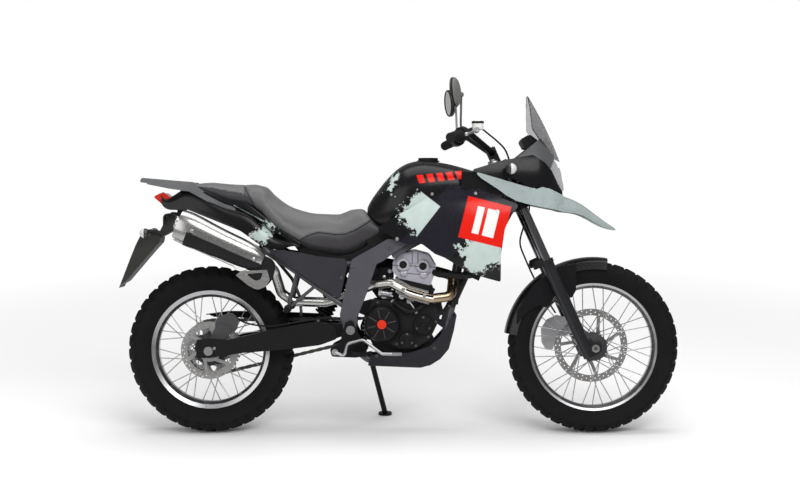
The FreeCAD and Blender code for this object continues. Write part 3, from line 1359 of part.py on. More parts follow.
@functools.cache
def tail_block():
    """The room that the tail cowl takes, with its hollow."""
    return arch_body(TAIL_STATIONS, TAIL_SQUARE)


@functools.cache
def tail_cowl():
    """Tail cowl under the rear of the seat, open below."""
    return arch_shell(TAIL_STATIONS, PANEL_T, TAIL_SQUARE, overrun=4.0).cut(subframe())


def side_cover_width(x, z):
    return 128 + 8 * smooth_step(x, 230, 400) - 6 * smooth_step(-z, -620, -510)


@functools.cache
def side_covers():
    outline = [(217, 708, 8), (274, 705, 40), (350, 695, 60), (426, 680, 60), (521, 672, 14), (530, 655, 10),
               (510, 560, 30), (500, 520, 8), (478, 530, 20), (407, 576, 40), (339, 622, 40), (293, 654, 20)]
    panel = skin_panel(outline, side_cover_width, PANEL_T)
    boss = rod(Vector(345, 116, 611), Vector(345, side_cover_width(345, 611) - 2, 611), 8)
    half = fused(panel, boss).cut(frame()).cut(subframe())
    return pair(half)


RACK_REAR = Vector(-256, 0, 980)
RACK_FRONT = Vector(-66, 0, 964)
RACK_MIDDLE = 102.0
RACK_PCD = 150.0
RACK_BOLT_R = 3.25


def rack_normal():
    along = (RACK_FRONT - RACK_REAR).normalize()
    return Vector(-along.z, 0, along.x)


def rack_point(y):
    """A point on the rack's top face, over the middle of the bolt circle."""
    along = (RACK_FRONT - RACK_REAR).normalize()
    return RACK_REAR + along * RACK_MIDDLE + Vector(0, y, 0)


@functools.cache
def luggage_rack():
    """Rack with a flat slotted top, a grab handle each side and arms that reach forward to the subframe."""
    top = [(-266, 962, 8), (RACK_REAR.x, RACK_REAR.z, 8), (RACK_FRONT.x, RACK_FRONT.z, 10), (-60, 952, 6),
           (-150, 956, 40), (-240, 962, 20)]
    plate = slab(top, -98, 98)
    arm = [(-90, 966, 6), (-60, 964, 12), (-34, 938, 20), (104, 862, 12), (98, 850, 6), (62, 852, 20), (-14, 894, 20),
           (-76, 928, 20), (-150, 938, 20), (-240, 956, 8), (-230, 966, 0)]
    arms = [slab(arm, 88, 98), slab(arm, -98, -88)]
    body = fused(plate, *arms)
    cuts = []
    for y0, y1 in ((-80, -30), (30, 80)):
        cuts.append(Part.makeBox(84, y1 - y0, 80, Vector(-196, y0, 930)))
    for x0, x1 in ((-236, -212), (-180, -128), (-100, -78)):
        cuts.append(Part.makeBox(x1 - x0, 34, 80, Vector(x0, -17, 930)))
    for i in range(4):
        turn = math.radians(45 + 90 * i)
        along = (RACK_FRONT - RACK_REAR).normalize()
        spot = rack_point(RACK_PCD / 2 * math.sin(turn)) + along * (RACK_PCD / 2 * math.cos(turn))
        cuts.append(Part.makeCylinder(RACK_BOLT_R, 60, spot - rack_normal() * 40, rack_normal()))
    return largest(body.cut(Part.makeCompound(cuts)).cut(tail_block()))


def tail_light():
    outline = [(-218, 908, 6), (-190, 922, 4), (-172, 922, 0), (-120, 880, 0), (-140, 858, 4), (-152, 852, 6)]
    return largest(slab(outline, -56, 56).cut(tail_block()))


@functools.cache
def rear_mudguard():
    """Inner mudguard in front of and over the tyre, the tail tray, and the hanging number plate holder."""
    inner = [(346, 448), (340, 520), (310, 590), (252, 660), (170, 716), (60, 764), (-60, 812), (-150, 842),
             (-176, 838), (-176, 800)]
    sheet = bent_sheet(inner, PANEL_T, 40, -64, 64)
    arm = [(-150, 850, 6), (-164, 838, 6), (-196, 776, 8), (-246, 784, 8), (-250, 764, 6), (-190, 752, 8),
           (-146, 776, 10), (-134, 848, 6)]
    holder = [(-284, 722, 20), (-258, 774, 10), (-188, 756, 8), (-192, 733, 10), (-230, 691, 60), (-323, 582, 20),
              (-342, 571, 6), (-352, 548, 4), (-300, 683, 60)]
    front_lug = [(186, 708, 0), (212, 688, 0), (208, 756, 6), (192, 756, 6)]
    rear_lug = [(-130, 836, 0), (-98, 826, 0), (-102, 880, 6), (-122, 880, 6)]
    lugs = [slab(lug, side * 34, side * 44) for lug in (front_lug, rear_lug) for side in (-1, 1)]
    body = fused(sheet, slab(arm, -32, 32), slab(holder, -72, 72), *lugs)
    return largest(body.cut(subframe()).cut(tail_cowl()))


def bent_sheet(line, thickness, bend, y0, y1):
    """A sheet bent along a line in the side view."""
    back = offset_line(line, thickness)
    radii = end_radii(len(line), bend)
    return slab([(x, z, r) for (x, z), r in zip(line + back[::-1], radii + radii)], y0, y1)


def end_radii(count, bend):
    return [0] + [bend] * (count - 2) + [0]


def offset_line(line, distance):
    """A polyline moved sideways by a distance, with mitred corners."""
    moved = []
    for i, (x, z) in enumerate(line):
        normals = []
        for a, b in ((i - 1, i), (i, i + 1)):
            if a >= 0 and b < len(line):
                dx, dz = line[b][0] - line[a][0], line[b][1] - line[a][1]
                size = math.hypot(dx, dz)
                normals.append((dz / size, -dx / size))
        nx = sum(n[0] for n in normals) / len(normals)
        nz = sum(n[1] for n in normals) / len(normals)
        scale = distance / (nx * nx + nz * nz)
        moved.append((x + nx * scale, z + nz * scale))
    return moved


def belly_guard():
    """Skid plate under the engine: a bent bottom with low side walls."""
    low = [(606, 262), (806, 254), (846, 264), (884, 288), (916, 326), (936, 400), (948, 466)]
    band = [(x, z, 20) for x, z in low[1:-1]]
    wall = [(low[0][0], low[0][1], 4)] + band + [(low[-1][0], low[-1][1], 4), (922, 440, 20), (901, 399, 30),
                                                (844, 336, 40), (767, 312, 40), (672, 306, 20), (618, 300, 6)]
    half = 96.0
    inner = offset_line([(x, z) for x, z in low], -GUARD_T)
    room = [(560, inner[0][1], 0)] + [(x, z, 16) for x, z in inner[1:-1]] + [(inner[-1][0] + 4, 480, 0), (560, 480, 0)]
    guard = slab(wall, -half, half).cut(slab(room, -half + GUARD_T, half - GUARD_T))
    tubes = [tube(cradle_route(side), CRADLE_R + SEAT_GAP, 60) for side in (-1, 1)]
    return guard.cut(Part.makeCompound(tubes + stand_mount()))


PEG_X = 549.0


def foot_pegs():
    """Rider's pegs on black hangers outside the pivot plates, and passenger pegs on the subframe."""
    pieces = []
    hanger = [(522, 430, 8), (548, 440, 8), (566, 400, 12), (604, 330, 12), (600, 302, 8), (560, 296, 8), (470, 300, 12),
              (462, 330, 12), (500, 350, 20)]
    cap_room = drum(PIVOT, 19, -400, 400)
    face = PLATE_OUT + SEAT_GAP
    plate = slab(hanger, face, face + 8).cut(cap_room)
    peg = Part.makeBox(54, 108, 12, Vector(PEG_X, face + 14, 308))
    boss = Part.makeBox(40, 16, 22, Vector(PEG_X + 7, face + 4, 302))
    teeth = []
    for i in range(7):
        teeth.append(Part.makeBox(6, 108, 5, Vector(PEG_X + 8 * i, face + 14, 319)))
    pieces.append(fused(plate, peg, boss, *teeth))
    arm_y = 122.0 + SEAT_GAP
    rear = rod(Vector(303, arm_y, 482), Vector(303, arm_y + 92, 482), 12)
    clevis = Part.makeCylinder(15, 12, Vector(303, arm_y, 482), UP_Y)
    pieces.append(fused(rear, clevis))
    return Part.makeCompound([m for p in pieces for m in (p, mirrored(p))])


def foot_levers():
    """Brake pedal on the right and gear lever on the left."""
    y = -(PLATE_OUT + 8 + 2 * SEAT_GAP)
    pedal = tube([Vector(482, y - 12, 318), Vector(518, y - 26, 304), Vector(532, y - 36, 352), Vector(590, y - 40, 366),
                  Vector(662, y - 44, 314), Vector(716, y - 46, 313)], 6, 14)
    pivot = Part.makeCylinder(12, 18, Vector(482, y - 18, 318), UP_Y)
    pad = Part.makeBox(36, 34, 11, Vector(700, y - 62, 308))
    brake = fused(pedal, pivot, pad)
    shaft = drum(Vector(650, 0, 372), 8, 101 + SEAT_GAP, 146)
    lever = tube([Vector(650, 138, 372), Vector(690, 150, 352), Vector(736, 160, 336)], 6, 14)
    toe = Part.makeCylinder(9, 44, Vector(736, 150, 336), UP_Y)
    return Part.makeCompound([brake, fused(shaft, lever, toe)])


# Side stand

def crown_radius(outer_r, width, rim_r):
    """Radius of the tread's arc, from its height over the shoulders."""
    rise = outer_r - (rim_r + outer_r) / 2 - SHOULDER_UP
    half = width / 2 * SHOULDER_SHARE
    return (half ** 2 + rise ** 2) / (2 * rise)


def tyre_drop():
    """How far the tyres' lowest points sink below the upright ground as the machine leans."""
    front = crown_radius(FRONT_TYRE_R, FRONT_TYRE_W, FRONT_RIM_R)
    rear = crown_radius(REAR_TYRE_R, REAR_TYRE_W, REAR_RIM_R)
    return (front + rear) / 2 * (1 - math.cos(math.radians(LEAN_DEG)))


def floor_height(y):
    """Height of the leaned floor in the upright frame, at that distance to the left."""
    lean = math.radians(LEAN_DEG)
    return y * math.tan(lean) - tyre_drop() / math.cos(lean)


def stand_points():
    """Pivot and foot of the stand, and where the foot is when the stand is folded up."""
    foot_y = STAND_PIVOT.y + STAND_SPREAD
    foot = Vector(STAND_PIVOT.x + STAND_FORWARD, foot_y, floor_height(foot_y))
    length = (foot - STAND_PIVOT).Length
    folded = STAND_PIVOT + Vector(-272, 26, 4).normalize() * length
    return STAND_PIVOT, foot, folded


def stand_axis():
    pivot, foot, folded = stand_points()
    return (foot - pivot).cross(folded - pivot).normalize()


def stand_travel():
    """Degrees from the stand's front stop, where it stands, to its folded place."""
    pivot, foot, folded = stand_points()
    return math.degrees((foot - pivot).getAngle(folded - pivot))


def stand_mount():
    """Lug on the frame with the pin that the side stand turns on."""
    pivot, axis = STAND_PIVOT, stand_axis()
    inner = STAND_BOSS_HALF + STAND_SIDE_GAP
    lug = Part.makeCylinder(17, 9, pivot - axis * (inner + 9), axis)
    arm = rod(Vector(LOWER_CROSS.x, PLATE_IN - 8, LOWER_CROSS.z - 4), pivot - axis * (inner + 9), 7)
    pin = rod(pivot - axis * (inner + 8), pivot + axis * (inner + 5), STAND_PIN_R)
    head = Part.makeCylinder(11, 5, pivot + axis * inner, axis)
    return [lug, arm, pin, head]


def side_stand():
    pivot, foot, _ = stand_points()
    lean = math.radians(LEAN_DEG)
    normal = Vector(0, -math.sin(lean), math.cos(lean))
    leg = rod(pivot, foot + normal * 4, STAND_R)
    pad = Part.makeCylinder(STAND_FOOT_R, STAND_FOOT_T, foot, normal)
    axis = stand_axis()
    boss = Part.makeCylinder(16, 2 * STAND_BOSS_HALF, pivot - axis * STAND_BOSS_HALF, axis)
    pin_room = Part.makeCylinder(STAND_PIN_R + RUNNING_GAP, 60, pivot - axis * 30, axis)
    return fused(leg, pad, boss).cut(pin_room)


@functools.cache
def nodes():
    """Every piece by its node's name, in the upright frame."""
    made = {}
    made.update(front_wheel_nodes())
    made.update(rear_wheel_nodes())
    made.update(steering_nodes())
    for make in (chain, front_sprocket, frame, subframe, swingarm, swingarm_pivot, shock, rear_axle, rear_brake,
                 chain_guard, crankcase, cylinder_head, engine_covers, exhaust_pipe, heat_shield, muffler,
                 muffler_case, fuel_tank, filler_cap, shrouds, radiator, intake, fairing, headlight, beak,
                 windscreen, cockpit_panels, fairing_stay, instruments, indicators, seat, tail_cowl, side_covers,
                 luggage_rack, tail_light, rear_mudguard, belly_guard, foot_pegs, foot_levers, side_stand):
        made[make.__name__] = make()
    return made


@functools.cache
def resting_place():
    """Leans the machine to its left, then puts the origin on the floor under the middle of its box."""
    lean = Placement(Vector(0, 0, 0), Rotation(Vector(1, 0, 0), -LEAN_DEG))
    box = FreeCAD.BoundBox()
    for name in ("front_tyre", "rear_tyre", "rear_mudguard", "mirrors", "hand_controls", "grips"):
        shape = nodes()[name].copy()
        shape.Placement = lean.multiply(shape.Placement)
        box.add(shape.optimalBoundingBox(False, False))
    shift = Vector(-box.Center.x, -box.Center.y, tyre_drop())
    return Placement(shift, Rotation()).multiply(lean)


def main():
    os.makedirs("parts", exist_ok=True)
    for name, shape in nodes().items():
        placed = shape.copy()
        placed.Placement = resting_place().multiply(shape.Placement)
        placed.exportStep(os.path.join("parts", name + ".step"))


if __name__ == "__main__":
    main()
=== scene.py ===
import json
import math

import bpy
from mathutils import Matrix, Vector
from mathutils.bvhtree import BVHTree
from mathutils.geometry import tessellate_polygon


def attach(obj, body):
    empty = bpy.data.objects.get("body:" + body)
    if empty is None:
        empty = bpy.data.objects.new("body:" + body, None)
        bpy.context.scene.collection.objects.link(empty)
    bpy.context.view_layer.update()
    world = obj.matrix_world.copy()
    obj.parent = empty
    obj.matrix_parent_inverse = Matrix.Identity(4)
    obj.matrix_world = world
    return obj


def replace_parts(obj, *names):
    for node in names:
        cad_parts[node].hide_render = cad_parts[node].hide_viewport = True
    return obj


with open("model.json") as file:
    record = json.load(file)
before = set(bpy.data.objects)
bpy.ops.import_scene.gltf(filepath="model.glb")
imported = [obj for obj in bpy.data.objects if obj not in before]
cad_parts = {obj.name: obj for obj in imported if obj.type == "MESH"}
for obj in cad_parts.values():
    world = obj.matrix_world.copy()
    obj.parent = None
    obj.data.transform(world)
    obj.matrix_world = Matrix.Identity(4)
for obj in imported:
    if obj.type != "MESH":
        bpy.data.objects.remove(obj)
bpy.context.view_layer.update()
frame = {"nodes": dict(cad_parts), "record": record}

# Upright frame: millimetres, X forwards from the rear axle, Y to the rider's left, Z up from the ground.
# The machine leans to its left, so every piece made here is turned by LEAN and moved like the CAD nodes.
MM = 0.001
LEAN = math.radians(10.0)
RAKE = math.radians(24.2)
AXLE_BEFORE_STEM = 64
FRONT_AXLE = Vector((1475, 0, 329))
REAR_AXLE = Vector((0, 0, 320))
TURN = Matrix.Rotation(-LEAN, 4, "X")

# Directions, and the y signs of the right and the left side
RIGHT = (0, -1, 0)
LEFT = (0, 1, 0)
UP = (0, 0, 1)
SIDES = (-1, 1)


def joint_place(name):
    for joint in frame["record"]["behaviour"]["joints"]:
        if joint["name"] == name:
            return Vector(joint["pos_m"])
    raise KeyError(name)


SHIFT = joint_place("front_wheel_spin") - TURN @ (FRONT_AXLE * MM)
REST = Matrix.Translation(SHIFT) @ TURN @ Matrix.Scale(MM, 4)
BACK = REST.inverted()

# The steering's own frame: forwards, left, up the steering axis
STEER_BASE = FRONT_AXLE - Vector((math.cos(RAKE), 0, math.sin(RAKE))) * AXLE_BEFORE_STEM
STEER = Matrix.Translation(STEER_BASE) @ Matrix.Rotation(-RAKE, 4, "Y")

# Camera: side view from the right, set in the upright frame so that the machine shows as in the photograph
CAMERA_EYE = Vector((729.3, -7000, 840))
CAMERA_TARGET = Vector((729.3, 0, 702.5))
CAMERA_LENS = 81.4
CAMERA_SENSOR = 36.0
CAMERA_CLIP = (0.1, 100)


def linked(name, data):
    """A new object in the scene."""
    obj = bpy.data.objects.new(name, data)
    bpy.context.scene.collection.objects.link(obj)
    return obj


def add_camera():
    data = bpy.data.cameras.new("camera")
    data.sensor_width = CAMERA_SENSOR
    data.lens = CAMERA_LENS
    data.clip_start, data.clip_end = CAMERA_CLIP
    camera = linked("camera", data)
    look = (CAMERA_TARGET - CAMERA_EYE).to_track_quat("-Z", "Y").to_matrix().to_4x4()
    camera.matrix_world = REST @ Matrix.Translation(CAMERA_EYE) @ look @ Matrix.Scale(1 / MM, 4)
    bpy.context.scene.camera = camera


add_camera()


# Materials

class Finish:
    """A material being built: its nodes, and short calls that join them."""

    def __init__(self, name, fixed=None):
        self.material = bpy.data.materials.new(name)
        self.material.use_nodes = True
        self.nodes = self.material.node_tree.nodes
        self.links = self.material.node_tree.links
        self.shader = self.nodes["Principled BSDF"]
        self.set(fixed or {})
        self.coords = self.nodes.new("ShaderNodeTexCoord").outputs["Object"]
        self.place = self.coords

    def feed(self, socket, value):
        """Links an output to a socket, or sets a number, vector or colour on it."""
        if isinstance(value, bpy.types.NodeSocket):
            self.links.new(value, socket)
        elif socket.type == "RGBA":
            socket.default_value = (*value, 1)
        else:
            socket.default_value = value

    def set(self, inputs):
        for name, value in inputs.items():
            self.feed(self.shader.inputs[name], value)

    def node(self, kind, inputs, **settings):
        node = self.nodes.new("ShaderNode" + kind)
        for name, value in settings.items():
            setattr(node, name, value)
        for name, value in inputs.items():
            self.feed(node.inputs[name], value)
        return node

    def noise(self, scale, detail=3.0, roughness=0.55, vector=None):
        inputs = {"Scale": scale, "Detail": detail, "Roughness": roughness, "Vector": vector or self.place}
        return self.node("TexNoise", inputs).outputs["Fac"]

    def spread(self, value, low, high, start=0.3, end=0.7):
        inputs = {"Value": value, "From Min": start, "From Max": end, "To Min": low, "To Max": high}
        return self.node("MapRange", inputs).outputs["Result"]

    def calc(self, kind, a, b=0.0, clamp=False):
        return self.node("Math", {0: a, 1: b}, operation=kind, use_clamp=clamp).outputs[0]

    def plus(self, a, b, clamp=False):
        return self.calc("ADD", a, b, clamp)

    def minus(self, a, b):
        return self.calc("SUBTRACT", a, b)

    def times(self, a, b):
        return self.calc("MULTIPLY", a, b)

    def most(self, *values):
        total = values[0]
        for value in values[1:]:
            total = self.calc("MAXIMUM", total, value)
        return total

    def mix(self, factor, a, b):
        return self.node("Mix", {0: factor, 6: a, 7: b}, data_type="RGBA").outputs[2]

    def wave(self, direction, scale):
        inputs = {"Scale": scale, "Vector": self.place}
        return self.node("TexWave", inputs, bands_direction=direction).outputs["Fac"]

    def split(self):
        """X, Y and Z of the place."""
        return self.node("SeparateXYZ", {0: self.place}).outputs

    def bump(self, height, strength, depth):
        node = self.node("Bump", {"Strength": strength, "Distance": depth, "Height": height})
        self.set({"Normal": node.outputs["Normal"]})


def upright_finish(name, fixed=None):
    """A material whose place is in the upright frame, in millimetres."""
    f = Finish(name, fixed)
    inputs = {"Location": BACK.to_translation(), "Rotation": (LEAN, 0, 0), "Scale": (1 / MM, 1 / MM, 1 / MM),
              "Vector": f.coords}
    f.place = f.node("Mapping", inputs).outputs["Vector"]
    return f


def shade(colour, share):
    return tuple(min(1.0, c * share) for c in colour)


BLACK = (0.006, 0.006, 0.007)
ZONE_BLACK = (0.012, 0.011, 0.017)
PALE = (0.48, 0.56, 0.53)
RED = (0.7, 0.012, 0.005)
WHITE = (0.8, 0.8, 0.78)
ROAD_DUST = (0.32, 0.3, 0.27)
TYRE_DUST = (0.16, 0.15, 0.14)
HUB_BLACK = (0.02, 0.02, 0.022)
HOUSING_BLACK = (0.008, 0.008, 0.009)

# Header pipe colour at shares of the way to the hottest part
HEAT_TINTS = ((0.45, (0.44, 0.42, 0.38, 1)), (0.75, (0.4, 0.34, 0.25, 1)))
HEAT_COLD = (0.44, 0.435, 0.42, 1)
HEAT_HOT = (0.34, 0.25, 0.16, 1)
HEAT_FROM_X, HEAT_TO_X = 640, 900

# The indicators' lenses lie ahead of the first x and behind the second
FRONT_LENS_X, REAR_LENS_X = 1145, -243

WORN_REACH = 170
EDGE_SOFT = 1.2


def surface(name, colour, rough, metal=0.0, grain=0.0, grain_scale=2.5, cloudy=0.08, rough_spread=0.06,
            coat=0.0, coat_rough=0.05, specular=0.15, dust=0.0):
    """A finish with its own fine grain, soft cloudiness and uneven gloss. Scales are per millimetre."""
    f = upright_finish(name, {"Metallic": metal, "Coat Weight": coat, "Coat Roughness": coat_rough,
                              "Specular IOR Level": specular})
    cloud = f.noise(0.012, 4.0)
    tone = f.mix(f.spread(cloud, 0, 1), shade(colour, 1 - cloudy), shade(colour, 1 + cloudy))
    if dust > 0:
        specks = f.spread(f.noise(0.35, 6.0, 0.7), 0, 1, 0.5, 0.75)
        tone = f.mix(f.times(specks, f.spread(cloud, 0, dust)), tone, ROAD_DUST)
    smear = f.noise(0.05, 5.0, 0.65)
    f.set({"Base Color": tone, "Roughness": f.spread(smear, rough - rough_spread, rough + rough_spread)})
    if grain > 0:
        f.bump(f.noise(grain_scale, 2.0, 0.6), grain, 0.0003)
    return f.material


def bodywork_paint():
    """Gloss black with pale worn flashes, a red block with two white bars, and red dashes on the tank."""
    gloss = {"Coat Weight": 0.2, "Coat Roughness": 0.2, "Specular IOR Level": 0.12}
    f = upright_finish("bodywork_paint", gloss)
    split = f.split()
    x, z = split["X"], split["Z"]
    wander = f.times(f.minus(f.noise(0.035, 6.0, 0.75), 0.5), WORN_REACH)

    def band(angle, px, pz, half, worn=None):
        """1 inside a slanted band through a point of the side view, with one edge or both worn away."""
        a = math.radians(angle)
        centre = px * math.cos(a) + pz * math.sin(a)
        away = f.minus(f.plus(f.times(x, math.cos(a)), f.times(z, math.sin(a))), centre)
        reach = f.calc("ABSOLUTE", away)
        if worn == "low":
            lower = f.most(f.times(away, -1.0), 0)
            reach = f.plus(reach, f.times(wander, f.calc("MINIMUM", lower, 1)))
        elif worn == "both":
            reach = f.plus(reach, wander)
        return f.spread(reach, 1, 0, half - EDGE_SOFT, half + EDGE_SOFT)

    def patch(angle, px, pz, half_long, half_high, worn_long=None, worn_high=None):
        """Slanted rectangle: the overlap of two bands at right angles."""
        across = band(angle, px, pz, half_long, worn_long)
        return f.times(across, band(angle + 90, px, pz, half_high, worn_high))

    pale = f.most(patch(-38, 800, 850, 52, 66, "low", "low"), patch(20, 1040, 690, 74, 58, "both", "both"),
                  patch(-50, 236, 792, 22, 74, "both", "low"), patch(-18, 700, 960, 10, 30, "both", "both"))
    zone = patch(-40, 905, 800, 92, 220)
    block = patch(-14, 1049, 812, 84, 80)
    bars = f.times(f.most(band(-14, 1022, 812, 13), band(-14, 1072, 812, 22)), band(76, 1049, 812, 52))
    dashes = f.times(f.most(*[band(18, 806 + 38 * i, 984, 12) for i in range(5)]), band(96, 880, 982, 16))
    pinstripe = f.times(band(62, 120, 862, 1.6), band(-28, 150, 846, 62))
    worn_pale = f.mix(f.noise(0.02, 4.0), shade(PALE, 0.88), shade(PALE, 1.12))
    tone = f.mix(zone, BLACK, ZONE_BLACK)
    tone = f.mix(f.most(pale, pinstripe), tone, worn_pale)
    tone = f.mix(f.most(block, dashes), tone, RED)
    tone = f.mix(f.times(block, bars), tone, WHITE)
    f.set({"Base Color": tone, "Roughness": f.spread(f.noise(0.04, 5.0, 0.65), 0.2, 0.32)})
    return f.material


def wheel_metal(name, axle, hub_r):
    """Polished rim and spokes, with a dark painted hub inside hub_r."""
    f = upright_finish(name)
    split = f.split()
    dx = f.minus(split["X"], axle.x)
    dz = f.minus(split["Z"], axle.z)
    r = f.calc("SQRT", f.plus(f.times(dx, dx), f.times(dz, dz)))
    outside = f.spread(r, 0, 1, hub_r - 1, hub_r + 1)
    cloud = f.noise(0.03, 5.0, 0.6)
    bright = f.mix(cloud, (0.36, 0.36, 0.37), (0.48, 0.48, 0.49))
    f.set({"Base Color": f.mix(outside, HUB_BLACK, bright), "Metallic": outside,
           "Roughness": f.minus(f.spread(cloud, 0.46, 0.54), f.times(outside, 0.2))})
    return f.material


def header_metal():
    """Stainless pipe with a straw and bronze heat tint towards the cylinder head."""
    f = upright_finish("header_metal", {"Metallic": 1.0})
    cloud = f.noise(0.02, 5.0, 0.6)
    along = f.spread(f.split()["X"], 0, 1, HEAT_FROM_X, HEAT_TO_X)
    heat = f.plus(along, f.times(f.minus(cloud, 0.5), 0.6), clamp=True)
    ramp = f.node("ValToRGB", {"Fac": heat})
    ramp.color_ramp.elements[0].color = HEAT_COLD
    ramp.color_ramp.elements[1].color = HEAT_HOT
    for position, colour in HEAT_TINTS:
        ramp.color_ramp.elements.new(position).color = colour
    f.set({"Base Color": ramp.outputs["Color"], "Roughness": f.spread(cloud, 0.18, 0.34)})
    return f.material


def brushed(name, colour, rough, along=(0.02, 2.0, 0.6)):
    """Metal brushed along the machine."""
    f = upright_finish(name, {"Metallic": 1.0})
    stretched = f.node("Mapping", {"Scale": along, "Vector": f.place}).outputs["Vector"]
    lines = f.noise(1.0, 3.0, 0.6, stretched)
    f.set({"Base Color": f.mix(f.noise(0.02, 4.0), shade(colour, 0.9), shade(colour, 1.08)),
           "Roughness": f.spread(lines, rough - 0.07, rough + 0.09)})
    f.bump(lines, 0.12, 0.0002)
    return f.material


def vinyl(name, colour, rough, scale):
    """Seat cover: pebbled grain with fine creases, painted darker along the creases as painted shade."""
    f = upright_finish(name, {"Sheen Weight": 0.12, "Sheen Roughness": 0.5})
    pattern = f.node("TexVoronoi", {"Scale": scale, "Vector": f.place}, feature="DISTANCE_TO_EDGE")
    cells = pattern.outputs["Distance"]
    cloud = f.noise(0.01, 4.0)
    tone = f.mix(cloud, shade(colour, 0.85), shade(colour, 1.15))
    # Darker along the grain's cell edges: painted shade in the creases.
    f.set({"Base Color": f.mix(f.spread(cells, 0.5, 0, 0, 0.12), tone, shade(colour, 0.45)),
           "Roughness": f.spread(cloud, rough - 0.05, rough + 0.05)})
    f.bump(f.spread(cells, 0, 1, 0, 0.25), 0.35, 0.0004)
    return f.material


def rubber(name, colour, dusty):
    """Dull black with a fine bumpy grain and a little road dust in scattered specks."""
    f = upright_finish(name, {"Specular IOR Level": 0.12})
    fine = f.noise(0.8, 4.0, 0.7)
    cloud = f.noise(0.015, 5.0, 0.6)
    tone = f.mix(cloud, shade(colour, 0.8), shade(colour, 1.35))
    haze = f.times(f.spread(fine, 0, 1, 0.45, 0.8), f.spread(cloud, 0, dusty * 0.3))
    f.set({"Base Color": f.mix(haze, tone, TYRE_DUST), "Roughness": f.spread(fine, 0.68, 0.84)})
    f.bump(fine, 0.2, 0.0003)
    return f.material


def clear(name, colour, rough):
    """Clear plastic."""
    f = upright_finish(name, {"Transmission Weight": 1.0, "IOR": 1.49})
    cloud = f.noise(0.03)
    f.set({"Base Color": f.mix(cloud, shade(colour, 0.95), shade(colour, 1.05)),
           "Roughness": f.spread(cloud, rough * 0.6, rough * 1.4)})
    return f.material


def indicator_shell():
    """Dark housing with a pale clear lens on each indicator's outer end."""
    f = upright_finish("indicator_shell", {"Coat Weight": 0.5})
    x = f.split()["X"]
    lens = f.most(f.spread(x, 0, 1, FRONT_LENS_X, FRONT_LENS_X + 1),
                  f.spread(x, 1, 0, REAR_LENS_X, REAR_LENS_X + 1))
    glass = f.mix(f.wave("Z", 0.09), (0.5, 0.5, 0.48), (0.8, 0.8, 0.77))
    rough = f.spread(f.noise(0.05, 4.0), 0.4, 0.5)
    f.set({"Base Color": f.mix(lens, HOUSING_BLACK, glass), "Roughness": f.minus(rough, f.times(lens, 0.3))})
    return f.material


def lamp_face():
    """Clear lamp glass over a bright fluted reflector."""
    f = upright_finish("lamp_face", {"Coat Weight": 1.0, "Coat Roughness": 0.02, "Metallic": 0.6})
    flutes = f.wave("Y", 0.06)
    f.set({"Base Color": f.mix(flutes, (0.42, 0.44, 0.46), (0.78, 0.8, 0.82)),
           "Roughness": f.spread(f.noise(0.05, 4.0), 0.12, 0.22)})
    f.bump(flutes, 0.4, 0.0008)
    return f.material


PAINT = bodywork_paint()
PLAIN_BLACK = surface("plain_black_gloss", BLACK, 0.26, coat=0.25, coat_rough=0.18, rough_spread=0.04)
MATT_BLACK = surface("matt_black_plastic", (0.009, 0.009, 0.01), 0.5, grain=0.5, grain_scale=1.2)
DARK_PLASTIC = surface("dark_grey_plastic", (0.035, 0.035, 0.038), 0.5, grain=0.5, grain_scale=1.2)
HOLDER_PLASTIC = surface("holder_plastic", (0.03, 0.031, 0.027), 0.5, grain=0.5, grain_scale=1.2, dust=0.05)
RACK_GREY = surface("rack_grey", (0.13, 0.133, 0.138), 0.4, grain=0.3, grain_scale=0.9, cloudy=0.12)
BEAK_PAINT = surface("beak_paint", (0.4, 0.465, 0.46), 0.3, metal=0.3, coat=0.5, coat_rough=0.1, cloudy=0.08,
                     grain=0.06, grain_scale=6.0)
COCKPIT_GREY = surface("cockpit_grey", (0.11, 0.115, 0.12), 0.38, metal=0.3, grain=0.2)
COVER_GREY = surface("side_cover_grey", (0.03, 0.0285, 0.034), 0.42, grain=0.35, grain_scale=1.0)
GUARD_GREY = surface("guard_grey", (0.02, 0.019, 0.023), 0.42, grain=0.35, grain_scale=1.0, dust=0.06)
FRAME_PAINT = surface("frame_paint", (0.085, 0.083, 0.096), 0.38, metal=0.3, grain=0.15, grain_scale=0.6,
                      coat=0.2, coat_rough=0.2)
TUBE_PAINT = surface("tube_paint", (0.014, 0.014, 0.016), 0.36, coat=0.2, coat_rough=0.2)
ARM_PAINT = surface("arm_paint", (0.007, 0.007, 0.008), 0.36, coat=0.25, coat_rough=0.15)
ENGINE_BLACK = surface("engine_black", (0.012, 0.012, 0.013), 0.46, metal=0.1, grain=0.5, grain_scale=0.7)
COVER_BLACK = surface("cover_black", (0.009, 0.009, 0.01), 0.34, metal=0.1, grain=0.2, grain_scale=0.8)
CAM_GREY = surface("cam_cover_grey", (0.47, 0.455, 0.51), 0.4, metal=0.4, grain=0.3, grain_scale=0.6)
LEG_GREY = surface("fork_leg_grey", (0.022, 0.0225, 0.025), 0.34, metal=0.4, grain=0.15, coat=0.2)
CLAMP_BLACK = surface("clamp_black", (0.01, 0.01, 0.011), 0.4, metal=0.3, grain=0.3)
# Lighter grey than the black cover: painted highlight on the clutch cover's ribs.
RIB_GREY_PAINTED_HIGHLIGHT = surface("rib_grey_painted_highlight", (0.05, 0.05, 0.052), 0.36, metal=0.3)
BOLT_GREY = surface("bolt_grey", (0.14, 0.138, 0.13), 0.36, metal=0.9)
CALIPER = surface("caliper_alloy", (0.4, 0.4, 0.41), 0.42, metal=0.5, grain=0.3, grain_scale=0.7)
REAR_CALIPER = surface("rear_caliper", (0.07, 0.07, 0.072), 0.4, metal=0.4, grain=0.3, grain_scale=0.7)
RAIL_PAINT = surface("rail_paint", (0.075, 0.075, 0.08), 0.34, metal=0.4, coat=0.2, coat_rough=0.2)
SOOT = surface("soot", (0.004, 0.004, 0.004), 0.8, grain=0.6, grain_scale=0.5, specular=0.1)
TUBE_CHROME = surface("tube_chrome", (0.2, 0.2, 0.21), 0.14, metal=1.0, rough_spread=0.04, cloudy=0.03)
